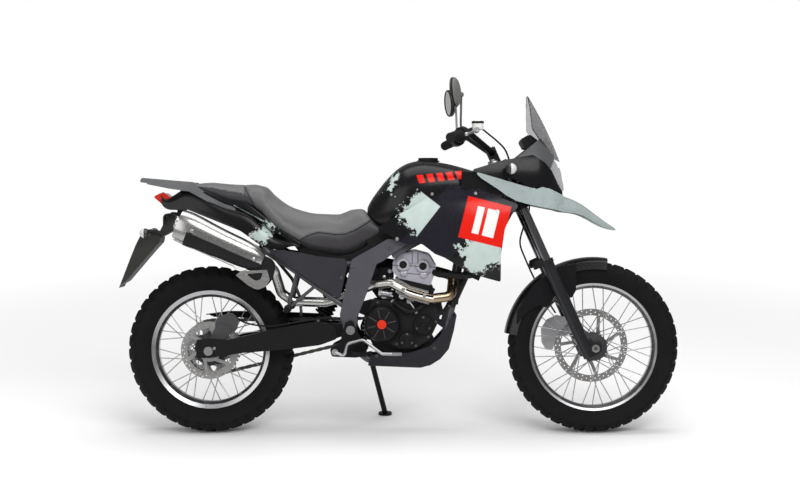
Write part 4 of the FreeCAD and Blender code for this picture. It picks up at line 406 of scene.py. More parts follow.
CHROME = surface("chrome", (0.6, 0.6, 0.61), 0.12, metal=1.0, rough_spread=0.04, cloudy=0.03)
STEEL = brushed("brushed_steel", (0.5, 0.49, 0.475), 0.28)
DISC_STEEL = brushed("disc_steel", (0.46, 0.45, 0.44), 0.32, (0.4, 0.4, 0.4))
MUFFLER_STEEL = brushed("muffler_steel", (0.4, 0.395, 0.39), 0.24)
ALLOY = surface("cast_alloy", (0.42, 0.42, 0.435), 0.36, metal=0.9, grain=0.2, grain_scale=0.8)
ZINC = surface("zinc_bolt", (0.5, 0.495, 0.47), 0.32, metal=1.0)
FIN_METAL = surface("fin_metal", (0.05, 0.05, 0.054), 0.45, metal=0.7, grain=0.2)
HEADER = header_metal()
FRONT_WHEEL = wheel_metal("front_wheel_metal", FRONT_AXLE, 60)
REAR_WHEEL = wheel_metal("rear_wheel_metal", REAR_AXLE, 69)
TYRE_RUBBER = rubber("tyre_rubber", (0.006, 0.006, 0.0065), 0.08)
GRIP_RUBBER = rubber("grip_rubber", (0.012, 0.012, 0.0125), 0.03)
# Top cover lighter than the side cover: a painted sheen of the light from above.
SEAT_TOP_PAINTED_SHEEN = vinyl("seat_top_vinyl_painted_sheen", (0.1, 0.1, 0.102), 0.5, 0.35)
SEAT_SIDE = vinyl("seat_side_vinyl", (0.028, 0.025, 0.03), 0.46, 0.35)
THREAD = surface("seat_thread", (0.05, 0.048, 0.052), 0.7, grain=0.5, grain_scale=2.0)
SMOKED = clear("smoked_screen", (0.42, 0.42, 0.43), 0.04)
LAMP_FACE = lamp_face()
REFLECTOR = surface("lamp_reflector", (0.82, 0.83, 0.85), 0.06, metal=0.9, coat=1.0, coat_rough=0.02,
                    cloudy=0.04, rough_spread=0.02)
INDICATOR = indicator_shell()
TAIL_LENS = surface("tail_lens", (0.6, 0.02, 0.006), 0.14, coat=0.8, coat_rough=0.02, grain=0.2,
                    grain_scale=0.4)
MIRROR_GLASS = surface("mirror_glass", (0.8, 0.82, 0.83), 0.02, metal=1.0, rough_spread=0.005, cloudy=0.01)
MIRROR_BACK = surface("mirror_back", (0.14, 0.14, 0.135), 0.4, grain=0.4, grain_scale=1.2)
RED_PAINT = surface("red_badge", (0.62, 0.03, 0.012), 0.3, coat=0.4)
RESERVOIR = surface("reservoir_plastic", (0.62, 0.62, 0.59), 0.32, grain=0.1, cloudy=0.06, specular=0.5)
DISPLAY = surface("display_glass", (0.1, 0.115, 0.1), 0.12, coat=0.8, cloudy=0.15)
DIAL_WHITE = surface("dial_white", (0.7, 0.7, 0.67), 0.3, coat=0.8, cloudy=0.04)
CHAIN_STEEL = surface("chain_steel", (0.12, 0.114, 0.105), 0.38, metal=0.9, grain=0.3)

NODE_FINISH = {
    PAINT: "fuel_tank shrouds fairing tail_cowl",
    PLAIN_BLACK: "front_mudguard",
    MATT_BLACK: "chain_guard instruments filler_cap intake hand_controls",
    GUARD_GREY: "belly_guard",
    HOLDER_PLASTIC: "rear_mudguard",
    MIRROR_BACK: "mirrors",
    RACK_GREY: "luggage_rack",
    BEAK_PAINT: "beak",
    COCKPIT_GREY: "cockpit_panels",
    COVER_GREY: "side_covers",
    FRAME_PAINT: "frame",
    RAIL_PAINT: "subframe",
    TUBE_PAINT: "fairing_stay",
    ARM_PAINT: "swingarm",
    ENGINE_BLACK: "crankcase muffler_case radiator",
    COVER_BLACK: "engine_covers",
    CALIPER: "front_brake",
    REAR_CALIPER: "rear_brake",
    CAM_GREY: "cylinder_head",
    LEG_GREY: "fork_legs",
    CLAMP_BLACK: "triple_clamps handlebar foot_pegs side_stand shock",
    TUBE_CHROME: "fork_tubes",
    STEEL: "front_axle rear_axle swingarm_pivot heat_shield",
    DISC_STEEL: "front_disc rear_disc",
    MUFFLER_STEEL: "muffler",
    ALLOY: "foot_levers front_sprocket rear_sprocket",
    CHAIN_STEEL: "chain",
    HEADER: "exhaust_pipe",
    FRONT_WHEEL: "front_wheel",
    REAR_WHEEL: "rear_wheel",
    GRIP_RUBBER: "grips",
    SMOKED: "windscreen",
    TAIL_LENS: "tail_light",
    LAMP_FACE: "headlight",
    INDICATOR: "indicators",
    TYRE_RUBBER: "front_tyre rear_tyre",
    SEAT_SIDE: "seat",
}

DARK_TUBES_FROM_X = 880
DARK_TUBES_Z = (470, 800)


def dress_nodes():
    for material, names in NODE_FINISH.items():
        for name in names.split():
            mesh = frame["nodes"][name].data
            mesh.materials.clear()
            mesh.materials.append(material)


def darken_down_tubes():
    """The frame's tubes in front of the engine are black, its plates and spars grey."""
    mesh = frame["nodes"]["frame"].data
    mesh.materials.append(TUBE_PAINT)
    for polygon in mesh.polygons:
        place = BACK @ polygon.center
        dark = place.x > DARK_TUBES_FROM_X and DARK_TUBES_Z[0] < place.z < DARK_TUBES_Z[1]
        polygon.material_index = 1 if dark else 0


dress_nodes()
darken_down_tubes()


# Mesh helpers, in upright millimetres. Small shapes are (points, faces).

OUTSIDE_Y = 900
SHARP_ANGLE = math.radians(38)
BOLT_SUNK = 0.3
# Radius that closes a turned shape on its axis
THIN = 0.01


def mesh_piece(name, points, faces, material, body, matrix=None):
    """A smooth mesh from points in the upright frame, set in place and riding on a body."""
    mesh = bpy.data.meshes.new(name)
    mesh.from_pydata([tuple(p) for p in points], [], faces)
    mesh.transform(REST @ matrix if matrix else REST)
    mesh.materials.append(material)
    mesh.polygons.foreach_set("use_smooth", [True] * len(mesh.polygons))
    obj = linked(name, mesh)
    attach(obj, body)
    return obj


def gather(name, parts, material, body="chassis", matrix=None):
    """One piece from several small shapes, with sharp edges kept."""
    points, faces = [], []
    for part_points, part_faces in parts:
        base = len(points)
        points += part_points
        faces += [tuple(base + i for i in face) for face in part_faces]
    obj = mesh_piece(name, points, faces, material, body, matrix)
    obj.data.set_sharp_from_angle(angle=SHARP_ANGLE)
    return obj


def on_bars(name, parts, material):
    """A piece in the steering's own frame."""
    return gather(name, parts, material, "steering", STEER)


def surface_tree(*names):
    """The surfaces of some nodes, for finding places on them."""
    points, faces = [], []
    for name in names:
        mesh = frame["nodes"][name].data
        base = len(points)
        points += [BACK @ v.co for v in mesh.vertices]
        faces += [tuple(base + i for i in polygon.vertices) for polygon in mesh.polygons]
    return BVHTree.FromPolygons(points, faces)


def on_side(tree, x, z, side):
    """Point and outward normal where a level line from one side first meets the surface."""
    point, normal, _, _ = tree.ray_cast(Vector((x, side * OUTSIDE_Y, z)), Vector((0, -side, 0)))
    if point is None:
        return None, None
    if normal.y * side < 0:
        normal = -normal
    return point, normal


def basis(axis):
    """Turns Z to the given direction."""
    return Vector(UP).rotation_difference(Vector(axis).normalized()).to_matrix().to_4x4()


def grid_faces(rows, columns, flip=False, loop=False):
    """Quads between rows of points. Each row closes on itself, or with loop the last row joins the first."""
    faces = []
    for j in range(rows if loop else rows - 1):
        below, above = j * columns, (j + 1) % rows * columns
        for i in range(columns - 1 if loop else columns):
            nxt = (i + 1) % columns
            face = (below + i, below + nxt, above + nxt, above + i)
            faces.append(face[:1] + face[:0:-1] if flip else face)
    return faces


def caps(rows, columns, flip=False):
    """Faces that close the first and the last row."""
    first = tuple(range(columns))
    last = tuple((rows - 1) * columns + i for i in range(columns))
    return [first, last[::-1]] if flip else [first[::-1], last]


def lathe(profile, place, axis=RIGHT, steps=28):
    """Surface of revolution of (radius, height) points about an axis."""
    matrix = Matrix.Translation(place) @ basis(axis)
    points = []
    for j in range(steps):
        turn = 2 * math.pi * j / steps
        points += [matrix @ Vector((r * math.cos(turn), r * math.sin(turn), h)) for r, h in profile]
    return points, grid_faces(steps, len(profile), flip=True, loop=True)


def ball(radius, place, axis, steps):
    turns = [math.pi * k / 10 for k in range(11)]
    profile = [(radius * math.sin(turn) + THIN, -radius * math.cos(turn)) for turn in turns]
    return lathe(profile, place, axis, steps)


def sweep(route, radius, sides=10):
    """Round tube along a list of points, closed at both ends."""
    points = []
    route = [Vector(p) for p in route]
    side = Vector(LEFT)
    for i, p in enumerate(route):
        ahead = (route[min(i + 1, len(route) - 1)] - route[max(i - 1, 0)]).normalized()
        side = side - ahead * side.dot(ahead)
        if side.length < 1e-4:
            side = ahead.orthogonal()
        side.normalize()
        up = ahead.cross(side)
        for k in range(sides):
            turn = 2 * math.pi * k / sides
            points.append(p + side * radius * math.cos(turn) + up * radius * math.sin(turn))
    return points, grid_faces(len(route), sides) + caps(len(route), sides)


def smooth_route(route, steps=8):
    """Points of a smooth curve through a few points."""
    route = [Vector(p) for p in route]
    ends = [route[0] * 2 - route[1]] + route + [route[-1] * 2 - route[-2]]
    points = []
    for a, b, c, d in zip(ends, ends[1:], ends[2:], ends[3:]):
        for i in range(steps):
            t = i / steps
            points.append(0.5 * (2 * b + (c - a) * t + (2 * a - 5 * b + 4 * c - d) * t ** 2
                                 + (3 * b - a - 3 * c + d) * t ** 3))
    return points + [route[-1]]


def tube(route, radius, sides=10, steps=8):
    """Round tube along a smooth curve through a few points."""
    return sweep(smooth_route(route, steps), radius, sides)


def rounded_outline(half_x, half_y, radius, steps=5):
    """Corner points of a rounded rectangle about the origin."""
    outline = []
    for cx, cy, first in ((1, 1, 0), (-1, 1, 90), (-1, -1, 180), (1, -1, 270)):
        for i in range(steps + 1):
            turn = math.radians(first + 90 * i / steps)
            outline.append((cx * (half_x - radius) + radius * math.cos(turn),
                            cy * (half_y - radius) + radius * math.sin(turn)))
    return outline


def block(half_x, half_y, radius, levels, matrix):
    """Rounded block: each level is (height, inset), joined in turn and closed at both ends."""
    rings = [rounded_outline(half_x - inset, half_y - inset, max(radius - inset, 0.2))
             for _, inset in levels]
    points = [matrix @ Vector((x, y, height)) for ring, (height, _) in zip(rings, levels) for x, y in ring]
    return points, grid_faces(len(levels), len(rings[0])) + caps(len(levels), len(rings[0]))


def rounded_loop(corners, steps=5):
    """(x, z) points of an outline whose corners are (x, z, radius)."""
    loop = []
    for i, (x, z, radius) in enumerate(corners):
        here = Vector((x, z))
        before = Vector(corners[i - 1][:2]) - here
        after = Vector(corners[(i + 1) % len(corners)][:2]) - here
        if radius <= 0:
            loop.append((x, z))
            continue
        start = before.normalized() * min(radius, before.length * 0.45)
        end = after.normalized() * min(radius, after.length * 0.45)
        for j in range(steps + 1):
            share = j / steps
            loop.append(tuple(here + start * (1 - share) ** 2 + end * share ** 2))
    return loop


def prism(outline, y0, y1, bevel=0.0):
    """Panel from an outline in the side view. The face at y0 is drawn in by the bevel."""
    middle = Vector((sum(x for x, _ in outline), sum(z for _, z in outline))) / len(outline)
    size = max((Vector(p) - middle).length for p in outline)
    rings = [(y0, 1 - bevel / size)]
    if bevel:
        rings.append((y0 + math.copysign(bevel, y1 - y0), 1.0))
    rings.append((y1, 1.0))
    points = [Vector((middle.x + (x - middle.x) * share, y, middle.y + (z - middle.y) * share))
              for y, share in rings for x, z in outline]
    counts = (len(rings), len(outline))
    return points, caps(*counts, flip=True) + grid_faces(*counts, flip=True)


def windowed_plate(outline, windows, y0, y1):
    """Flat plate in the side view with windows through it."""
    loops = [[Vector((x, 0, z)) for x, z in rounded_loop(corners)] for corners in [outline] + windows]
    triangles = tessellate_polygon(loops)
    flat = [p for loop in loops for p in loop]
    count = len(flat)
    points = [Vector((p.x, y, p.z)) for y in (y0, y1) for p in flat]
    faces = [tuple(tri) for tri in triangles]
    faces += [tuple(count + i for i in reversed(tri)) for tri in triangles]
    base = 0
    for loop in loops:
        for i in range(len(loop)):
            nxt = (i + 1) % len(loop)
            faces.append((base + i, base + i + count, base + nxt + count, base + nxt))
        base += len(loop)
    return points, faces


def hull(stations, square, between=5, steps=48):
    """Closed body through oval sections. A station is (x, low, high, half width)."""
    rows = smooth_route([Vector(station) for station in stations], between)
    points = []
    for x, low, high, half in rows:
        for i in range(steps):
            turn = 2 * math.pi * i / steps
            c, s = math.cos(turn), math.sin(turn)
            y = half * math.copysign(abs(c) ** (2 / square), c)
            z = (low + high) / 2 + (high - low) / 2 * math.copysign(abs(s) ** (2 / square), s)
            points.append(Vector((x, y, z)))
    return points, caps(len(rows), steps, flip=True) + grid_faces(len(rows), steps, flip=True)


def line_on(tree, places, side, radius, spacing):
    """Thin round bead laid along a side of a surface, through (x, z) places."""
    spots = []
    for (x0, z0), (x1, z1) in zip(places, places[1:]):
        count = max(2, int(math.hypot(x1 - x0, z1 - z0) / spacing))
        spots += [(x0 + (x1 - x0) * i / count, z0 + (z1 - z0) * i / count) for i in range(count)]
    found = [on_side(tree, x, z, side) for x, z in spots + [places[-1]]]
    route = [point + normal * radius * 0.3 for point, normal in found if point is not None]
    kept = route[:1]
    for point in route[1:]:
        if (point - kept[-1]).length < 6 * spacing:
            kept.append(point)
    return sweep(kept, radius, 8)


def socket_bolt(place, axis, r):
    """Cap screw with a recess, on a washer."""
    profile = [(1.45, 0), (1.45, 0.14), (1.36, 0.24), (1, 0.24), (1, 0.95), (0.88, 1.1), (0.55, 1.1),
               (0.5, 0.5)]
    return lathe([(r * a, r * h) for a, h in profile] + [(THIN, r * 0.45)], place, axis, 24)


def hex_bolt(place, axis, r):
    """Hexagon head with a chamfer, on a flange."""
    flange = lathe([(r * 1.3, 0), (r * 1.3, r * 0.12), (r * 1.18, r * 0.28)], place, axis, 24)
    profile = [(r * 1.18, r * 0.2), (r, r * 0.3), (r, r * 0.85), (r * 0.86, r), (THIN, r)]
    head = lathe(profile, place, axis, 6)
    base = len(flange[0])
    return flange[0] + head[0], flange[1] + [tuple(base + i for i in face) for face in head[1]]


def bolt_row(name, material, nodes, places, shape):
    """Bolts on the sides of some nodes. Each place is (x, z, side, radius)."""
    tree = surface_tree(*nodes.split())
    parts = []
    for x, z, side, r in places:
        point, normal = on_side(tree, x, z, side)
        parts.append(shape(point - normal * BOLT_SUNK, normal, r))
    gather(name, parts, material)


# Tyres: outer radius, width and rim radius, then the number of tread pitches round each

FRONT_TYRE = (329.0, 110.0, 254.0)
REAR_TYRE = (320.0, 130.0, 229.0)
FRONT_PITCHES = 42
REAR_PITCHES = 38
ROWS_PER_PITCH = 12
CROWN_COLUMNS = 44
WALL_ROWS = 8
SHOULDER_UP = 14
BEAD_DEPTH = 13.2
BEAD_SHARE = 0.55
TREAD_DEPTH = 6.5
TREAD_EDGE = 0.99
TREAD_STAGGER = 0.12
TREAD_SLANT = 0.3
TREAD_RING = 0.42


def ramp(value, start, width):
    """0 up to start, then rising to 1 over the width."""
    return max(0.0, min(1.0, (value - start) / width))


def tread_depth(pitch, side):
    """How deep the tread is cut at that share of one pitch and that place across the crown, -1 to 1."""
    across = abs(side)
    if across > TREAD_EDGE:
        return 0.0
    swing = math.sin(2 * math.pi * pitch)
    lean = pitch + (TREAD_STAGGER if side < 0 else 0.0) + TREAD_SLANT * across
    cut = abs((lean % 1.0) - 0.5) * 2
    ring = abs(across - TREAD_RING - 0.08 * swing * (1 if side > 0 else -1))
    middle = abs(side + 0.09 * swing)
    depth = max(ramp(cut, 0.6, 0.12), ramp(-ring, -0.065, 0.03), ramp(-middle, -0.05, 0.025))
    return depth * min(1.0, (TREAD_EDGE - across) / 0.05)


def tyre_section(outer, width, rim):
    """Profile from bead to bead as (radius, y, place across the crown or None on the walls)."""
    half = width / 2
    edge = half * TREAD_EDGE
    shoulder_r = (rim + outer) / 2 + SHOULDER_UP
    rise = outer - shoulder_r
    crown = (edge ** 2 + rise ** 2) / (2 * rise)
    reach = math.asin(edge / crown)
    profile = []
    for i in range(CROWN_COLUMNS + 1):
        side = -1 + 2 * i / CROWN_COLUMNS
        a = side * reach
        profile.append((outer - crown * (1 - math.cos(a)), crown * math.sin(a), side))
    wall = []
    bead_r = rim - BEAD_DEPTH
    bead_y = half * BEAD_SHARE
    for i in range(1, WALL_ROWS + 1):
        t = i / WALL_ROWS
        bulge = math.sin(t * math.pi) * half * 0.1
        y = edge + (bead_y - edge) * t ** 1.6 + bulge * 0.35
        wall.append((shoulder_r + (bead_r - shoulder_r) * t, min(y, edge), None))
    return [(r, -y, side) for r, y, side in wall[::-1]] + profile + wall


def tyre_piece(name, node, body, centre, size, pitches):
    section = tyre_section(*size)
    rows = pitches * ROWS_PER_PITCH
    points = []
    for j in range(rows):
        turn = 2 * math.pi * j / rows
        share = (j % ROWS_PER_PITCH) / ROWS_PER_PITCH
        c, s = math.cos(turn), math.sin(turn)
        for r, y, side in section:
            if side is not None:
                r -= TREAD_DEPTH * tread_depth(share, side)
            points.append((centre.x + r * c, y, centre.z + r * s))
    obj = mesh_piece(name, points, grid_faces(rows, len(section), loop=True), TYRE_RUBBER, body)
    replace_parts(obj, node)


tyre_piece("front_tyre_tread", "front_tyre", "front_wheel", FRONT_AXLE, FRONT_TYRE, FRONT_PITCHES)
tyre_piece("rear_tyre_tread", "rear_tyre", "rear_wheel", REAR_AXLE, REAR_TYRE, REAR_PITCHES)


# Seat

# Panel seam along each side of the seat, from the passenger's part forwards: (x, z)
SEAT_SEAM = [(134, 948), (172, 881), (191, 849), (265, 790), (346, 742), (387, 762), (417, 771), (444, 769),
             (482, 763), (520, 765), (558, 779), (596, 803), (623, 822), (640, 836)]
SEAT_CROSS_X = 134.0
# Sections of the cushion: x, low z, high z, half width
SEAT_STATIONS = [(-84, 930, 961, 70), (-6, 914, 960, 96), (72, 884, 953, 112), (130, 872, 950, 118),
                 (190, 846, 951, 122), (218, 814, 938, 126), (246, 786, 908, 130), (304, 742, 867, 134),
                 (381, 700, 843, 128), (439, 684, 838, 116), (497, 675, 838, 104), (547, 684, 856, 98),
                 (588, 706, 862, 97), (622, 731, 830, 98), (652, 758, 798, 98)]
SEAT_SQUARE = 3.2
SEAT_INSET = 3.0
SEAT_RISE = 7.0
SEAT_VOXEL = 0.006
SEAT_HELD = 9.0
SEAT_UNDERSIDE = -0.35
SEAT_GROOVE = 2.6
SEAT_GROOVE_WIDTH = 3.2
SEAT_NEIGHBOURS = "tail_cowl fuel_tank luggage_rack side_covers frame subframe intake shrouds"
TANK_GAP = 0.5
STITCH_PITCH = 5.0
STITCH_OFF = 4.6
STITCH_MIN_Y = 40
STITCH_MAX = 8
CLOTH_STEPS = 20
CLOTH_SETTINGS = {
    "quality": 5,
    "mass": 0.4,
    "tension_stiffness": 18,
    "compression_stiffness": 18,
    "bending_stiffness": 2.0,
    "use_pressure": True,
    "uniform_pressure_force": 4.0,
}


def seam_height(x):
    if x <= SEAT_SEAM[0][0]:
        return SEAT_SEAM[0][1]
    for (x0, z0), (x1, z1) in zip(SEAT_SEAM, SEAT_SEAM[1:]):
        if x <= x1:
            return z0 + (z1 - z0) * (x - x0) / (x1 - x0)
    return SEAT_SEAM[-1][1]


def seam_distance(x, z):
    """Distance in the side view from the panel seam."""
    nearest = math.inf
    for a, b in zip(SEAT_SEAM, SEAT_SEAM[1:]):
        a, b = Vector(a), Vector(b)
        run = b - a
        share = max(0.0, min(1.0, (Vector((x, z)) - a).dot(run) / run.length_squared))
        nearest = min(nearest, (Vector((x, z)) - a - run * share).length)
    return nearest


def upright_direction(direction):
    return (BACK.to_3x3() @ direction).normalized()


def evaluated_mesh(obj):
    graph = bpy.context.evaluated_depsgraph_get()
    return bpy.data.meshes.new_from_object(obj.evaluated_get(graph), depsgraph=graph)


def inflated(mesh, held):
    """The mesh after air pressure has filled its cover, with the held points left where they are."""
    work = linked("seat_work", mesh)
    group = work.vertex_groups.new(name="held")
    group.add([i for i, fixed in enumerate(held) if fixed], 1.0, "REPLACE")
    cloth = work.modifiers.new("cover", "CLOTH")
    for name, value in CLOTH_SETTINGS.items():
        setattr(cloth.settings, name, value)
    cloth.settings.vertex_group_mass = "held"
    cloth.settings.effector_weights.gravity = 0
    cloth.collision_settings.use_collision = False
    for step in range(1, CLOTH_STEPS + 1):
        bpy.context.scene.frame_set(step)
    filled = evaluated_mesh(work)
    bpy.context.scene.frame_set(1)
    bpy.data.objects.remove(work)
    return filled


def seat_form():
    """Evenly meshed body of the cushion."""
    points, faces = hull(SEAT_STATIONS, SEAT_SQUARE, between=4)
    form = bpy.data.meshes.new("seat_form")
    form.from_pydata([REST @ p for p in points], [], faces)
    source = linked("seat_source", form)
    remesh = source.modifiers.new("even", "REMESH")
    remesh.mode = "VOXEL"
    remesh.voxel_size = SEAT_VOXEL
    mesh = evaluated_mesh(source)
    bpy.data.objects.remove(source)
    return mesh


def fill_seat(mesh):
    """Shrinks the cushion a little, clears it of the tank and fills it by pressure."""
    neighbours = surface_tree(*SEAT_NEIGHBOURS.split())
    tank = surface_tree("fuel_tank")
    start = []
    for v in mesh.vertices:
        p = v.co - v.normal * SEAT_INSET * MM
        near, outward, _, _ = tank.find_nearest(BACK @ p)
        if (BACK @ p - near).dot(outward) < TANK_GAP:
            p = REST @ (near + outward * TANK_GAP)
        start.append(p)
    held = []
    for v, p in zip(mesh.vertices, start):
        distance = neighbours.find_nearest(BACK @ p)[3]
        held.append(upright_direction(v.normal).z < SEAT_UNDERSIDE or distance < SEAT_HELD)
        v.co = p
    filled = inflated(mesh, held)
    for v, p, q in zip(mesh.vertices, start, filled.vertices):
        move = q.co - p
        if move.length > SEAT_RISE * MM:
            move.length = SEAT_RISE * MM
        v.co = p + move


def groove(distance):
    return SEAT_GROOVE * math.exp(-(distance / SEAT_GROOVE_WIDTH) ** 2)


def seam_seat(mesh):
    """Presses the seams in and gives the top a lighter cover than the sides, a painted sheen of the light
    from above.
    """
    mesh.materials.clear()
    mesh.materials.append(SEAT_TOP_PAINTED_SHEEN)
    mesh.materials.append(SEAT_SIDE)
    for v, normal in zip(mesh.vertices, [v.normal.copy() for v in mesh.vertices]):
        place = BACK @ v.co
        outward = upright_direction(normal)
        depth = 0.0
        if abs(outward.y) > 0.35 and outward.z > -0.5:
            depth = groove(seam_distance(place.x, place.z))
        if outward.z > 0.3:
            depth = max(depth, groove(place.x - SEAT_CROSS_X))
        v.co -= normal * depth * MM
    for polygon in mesh.polygons:
        place = BACK @ polygon.center
        upward = upright_direction(polygon.normal).z
        # Behind the cross seam the painted sheen goes on the faces that point upwards.
        top = place.z > seam_height(place.x) if place.x > SEAT_CROSS_X else upward > 0.55
        polygon.material_index = 0 if top else 1
        polygon.use_smooth = True


def seat_piece():
    """Padded seat: its form shrunk a little, filled by pressure, then seamed."""
    mesh = seat_form()
    fill_seat(mesh)
    obj = linked("seat_cushion", mesh)
    obj.modifiers.new("finer", "SUBSURF").levels = 1
    finer = evaluated_mesh(obj)
    obj.modifiers.clear()
    obj.data = finer
    seam_seat(finer)
    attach(obj, "chassis")
    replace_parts(obj, "seat")
    return obj


def seat_threads(cushion):
    """A dark bead in the seam's groove as painted shade, and a row of stitches on each side of it, laid on
    the cover.
    """
    tree = BVHTree.FromPolygons([BACK @ v.co for v in cushion.data.vertices],
                                [tuple(p.vertices) for p in cushion.data.polygons])
    # Dark bead along the seam: painted shade of the groove.
    groove_shade = [line_on(tree, SEAT_SEAM, side, 1.5, 6.0) for side in SIDES]
    gather("seat_groove_painted_shade", groove_shade, MATT_BLACK)
    stations = []
    for a, b in zip(SEAT_SEAM[:-1], SEAT_SEAM[1:]):
        a, b = Vector(a), Vector(b)
        count = max(2, int((b - a).length / STITCH_PITCH))
        stations += [a + (b - a) * i / count for i in range(count)]
    stitches = []
    for side in SIDES:
        for p, q in zip(stations, stations[1:]):
            run = (q - p).normalized()
            across = Vector((-run.y, run.x)) * STITCH_OFF
            for offset in (across, -across):
                spots = [p + (q - p) * share + offset for share in (0.2, 0.8)]
                found = [on_side(tree, spot.x, spot.y, side) for spot in spots]
                ends = [point + normal * 0.15 for point, normal in found
                        if point is not None and abs(point.y) > STITCH_MIN_Y]
                if len(ends) == 2 and (ends[1] - ends[0]).length < STITCH_MAX:
                    stitches.append(sweep([ends[0], (ends[0] + ends[1]) / 2, ends[1]], 0.55, 5))
    gather("seat_stitches", stitches, THREAD)


seat_threads(seat_piece())


# Handlebar details, in the steering's own frame

BAR_END = Vector((-119, 398, 952))
BAR_BEND = Vector((-45, 175, 950))
GRIP_LENGTH = 125.0
SWITCHES_AT = GRIP_LENGTH + 38
PERCH_AT = GRIP_LENGTH + 62
PERCH_HALF = 8
LEVEL = Matrix.Rotation(RAKE, 4, "Y")
LEVEL_UP = LEVEL.to_3x3() @ Vector(UP)
MIRROR_HEAD = Vector((-44, 345, 1102))
MIRROR_TURN = math.radians(12)
MIRROR_TILT = RAKE - math.radians(6)
FORK_Y = 100
CLAMP_Y = 42
BACKWARDS = (-1, 0, 0)
FRONT_HOSE = [(2, -204, 946), (21, -175, 913), (43, -130, 875), (60, -92, 834), (60, -64, 784),
              (50, -62, 700), (62, -58, 616), (46, -30, 572), (10, 20, 530), (-24, 62, 480), (-30, 84, 420),
              (-28, 84, 300), (-9, 82, 170)]
REAR_HOSE = [(100, -84, 446), (150, -108, 424), (236, -130, 416), (350, -130, 433), (410, -130, 442),
             (452, -133, 449), (490, -139, 442), (512, -145, 418)]


def sided(vector, side):
    return Vector((vector.x, side * vector.y, vector.z))


def bar_out(side):
    return (sided(BAR_END, side) - sided(BAR_BEND, side)).normalized()


def bar_point(side, inwards):
    return sided(BAR_END, side) - bar_out(side) * inwards


def hand_controls():
    """Switch housings, lever perches, master cylinder and levers."""
    dark, bright = [], []
    for side in SIDES:
        out = bar_out(side)
        dark.append(lathe([(11.2, 0), (24, 0), (27, 3), (27, 33), (24, 36), (11.2, 36)],
                          bar_point(side, SWITCHES_AT), out, 40))
        perch = bar_point(side, PERCH_AT)
        dark.append(lathe([(11.2, 0), (17, 0), (18, 1.5), (18, 20.5), (17, 22), (11.2, 22)], perch, out, 32))
        pivot = perch + out * PERCH_HALF
        knuckle = pivot + Vector((34, 0, -4))
        dark.append(sweep([pivot, (pivot + knuckle) / 2, knuckle], 8, 14))
        tip = bar_point(side, 6) + Vector((52, 0, -12))
        middle = bar_point(side, 75) + Vector((58, 0, -12))
        bright.append(tube([knuckle, middle, tip], 5.5, 12, 10))
        bright.append(ball(8, tip, out, 20))
    perch = bar_point(-1, PERCH_AT) + bar_out(-1) * PERCH_HALF
    body = [(THIN, -30), (8, -30), (10, -27), (10, 12), (12, 14), (12, 22), (8, 24), (8, 34), (5, 36),
            (THIN, 36)]
    bright.append(lathe(body, perch + Vector((46, 0, -8)), LEFT, 24))
    dark.append(sweep([perch, perch + Vector((24, 0, 0)), perch + Vector((48, 2, -2))], 10, 14))
    outlet = [perch + Vector(offset) for offset in ((50, 4, -8), (56, 4, -6), (58, 4, 0))]
    bright.append(sweep(outlet, 7, 12))
    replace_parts(on_bars("control_housings", dark, MATT_BLACK), "hand_controls")
    on_bars("levers", bright, ALLOY)


def mirror_place(side):
    """Frame of a mirror's head: oval, turned in and tilted."""
    place = Matrix.Translation(sided(MIRROR_HEAD, side)) @ Matrix.Rotation(side * MIRROR_TURN, 4, "Z")
    return place @ Matrix.Rotation(MIRROR_TILT, 4, "Y") @ Matrix.Diagonal((1, 1.14, 0.98, 1))


def on_mirror(side, profile):
    points, faces = lathe(profile, (0, 0, 0), BACKWARDS, 56)
    place = mirror_place(side)
    return [place @ p for p in points], faces


def mirror_stalks():
    """Shell, joint and stalk of each mirror."""
    parts = []
    for side in SIDES:
        parts.append(on_mirror(side, [(55.4, -1), (55.2, -9), (52, -15), (43, -20.5), (28, -24.5), (12, -26),
                                      (THIN, -26.2)]))
        root = bar_point(side, GRIP_LENGTH + 50) + Vector((0, 0, 16))
        joint = sided(MIRROR_HEAD, side) + Vector((24, -side * 16, -20))
        knee = root + Vector((2, 0, 18))
        parts.append(tube([root, knee, knee + (joint - knee) * 0.5, joint], 4.2, 12, 6))
        parts.append(ball(10, joint, UP, 24))
        nut = [(7, 0), (7.6, 1), (7.6, 12), (5, 16), (THIN, 16)]
        parts.append(lathe(nut, root - Vector((0, 0, 6)), UP, 6))
    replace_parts(on_bars("mirror_shells", parts, MIRROR_BACK), "mirrors")


def brake_hoses():
    """Front hose in the steering's frame and rear hose along the swingarm."""
    on_bars("front_brake_line", [tube(FRONT_HOSE, 3.4)], MATT_BLACK)
    gather("rear_brake_line", [tube(REAR_HOSE, 3.4)], MATT_BLACK)


def grip_sleeves():
    """Ribbed rubber over each grip."""
    profile = [(16.6, 5.6)]
    for i in range(101):
        rib = 0.9 * abs(math.sin(math.pi * i / 4))
        waist = 0.8 * math.sin(math.pi * i / 100)
        profile.append((17.1 + rib + waist, 6 + i * 1.12))
    profile.append((16.6, 118.6))
    parts = [lathe(profile, bar_point(side, GRIP_LENGTH), bar_out(side), 36) for side in SIDES]
    on_bars("grip_ribs", parts, GRIP_RUBBER)


def switchgear():
    """Keys on the rider's side of the switch pods. The upper one on the right stops the engine."""
    keys, red_keys = [], []
    for side in SIDES:
        pod = Matrix.Translation(bar_point(side, GRIP_LENGTH + 22)) @ LEVEL
        face = pod @ Matrix.Translation((-6, 0, 0)) @ basis(BACKWARDS)
        for up, half_x, half_y in ((12, 4.5, 8), (-2, 3.5, 6), (-13, 3.5, 7)):
            place = face @ Matrix.Translation((up, 0, 0))
            key = block(half_x, half_y, 2, [(-0.5, 0), (2.6, 0), (3.6, 0.8)], place)
            (red_keys if side < 0 and up == 12 else keys).append(key)
        keys.append(lathe([(THIN, -1), (2.8, -1), (2.8, 6), (2, 6.8), (THIN, 6.8)], pod @ Vector((4, 0, 22)),
                          LEVEL_UP, 16))
    on_bars("switch_keys", keys, DARK_PLASTIC)
    on_bars("stop_switch", red_keys, RED_PAINT)


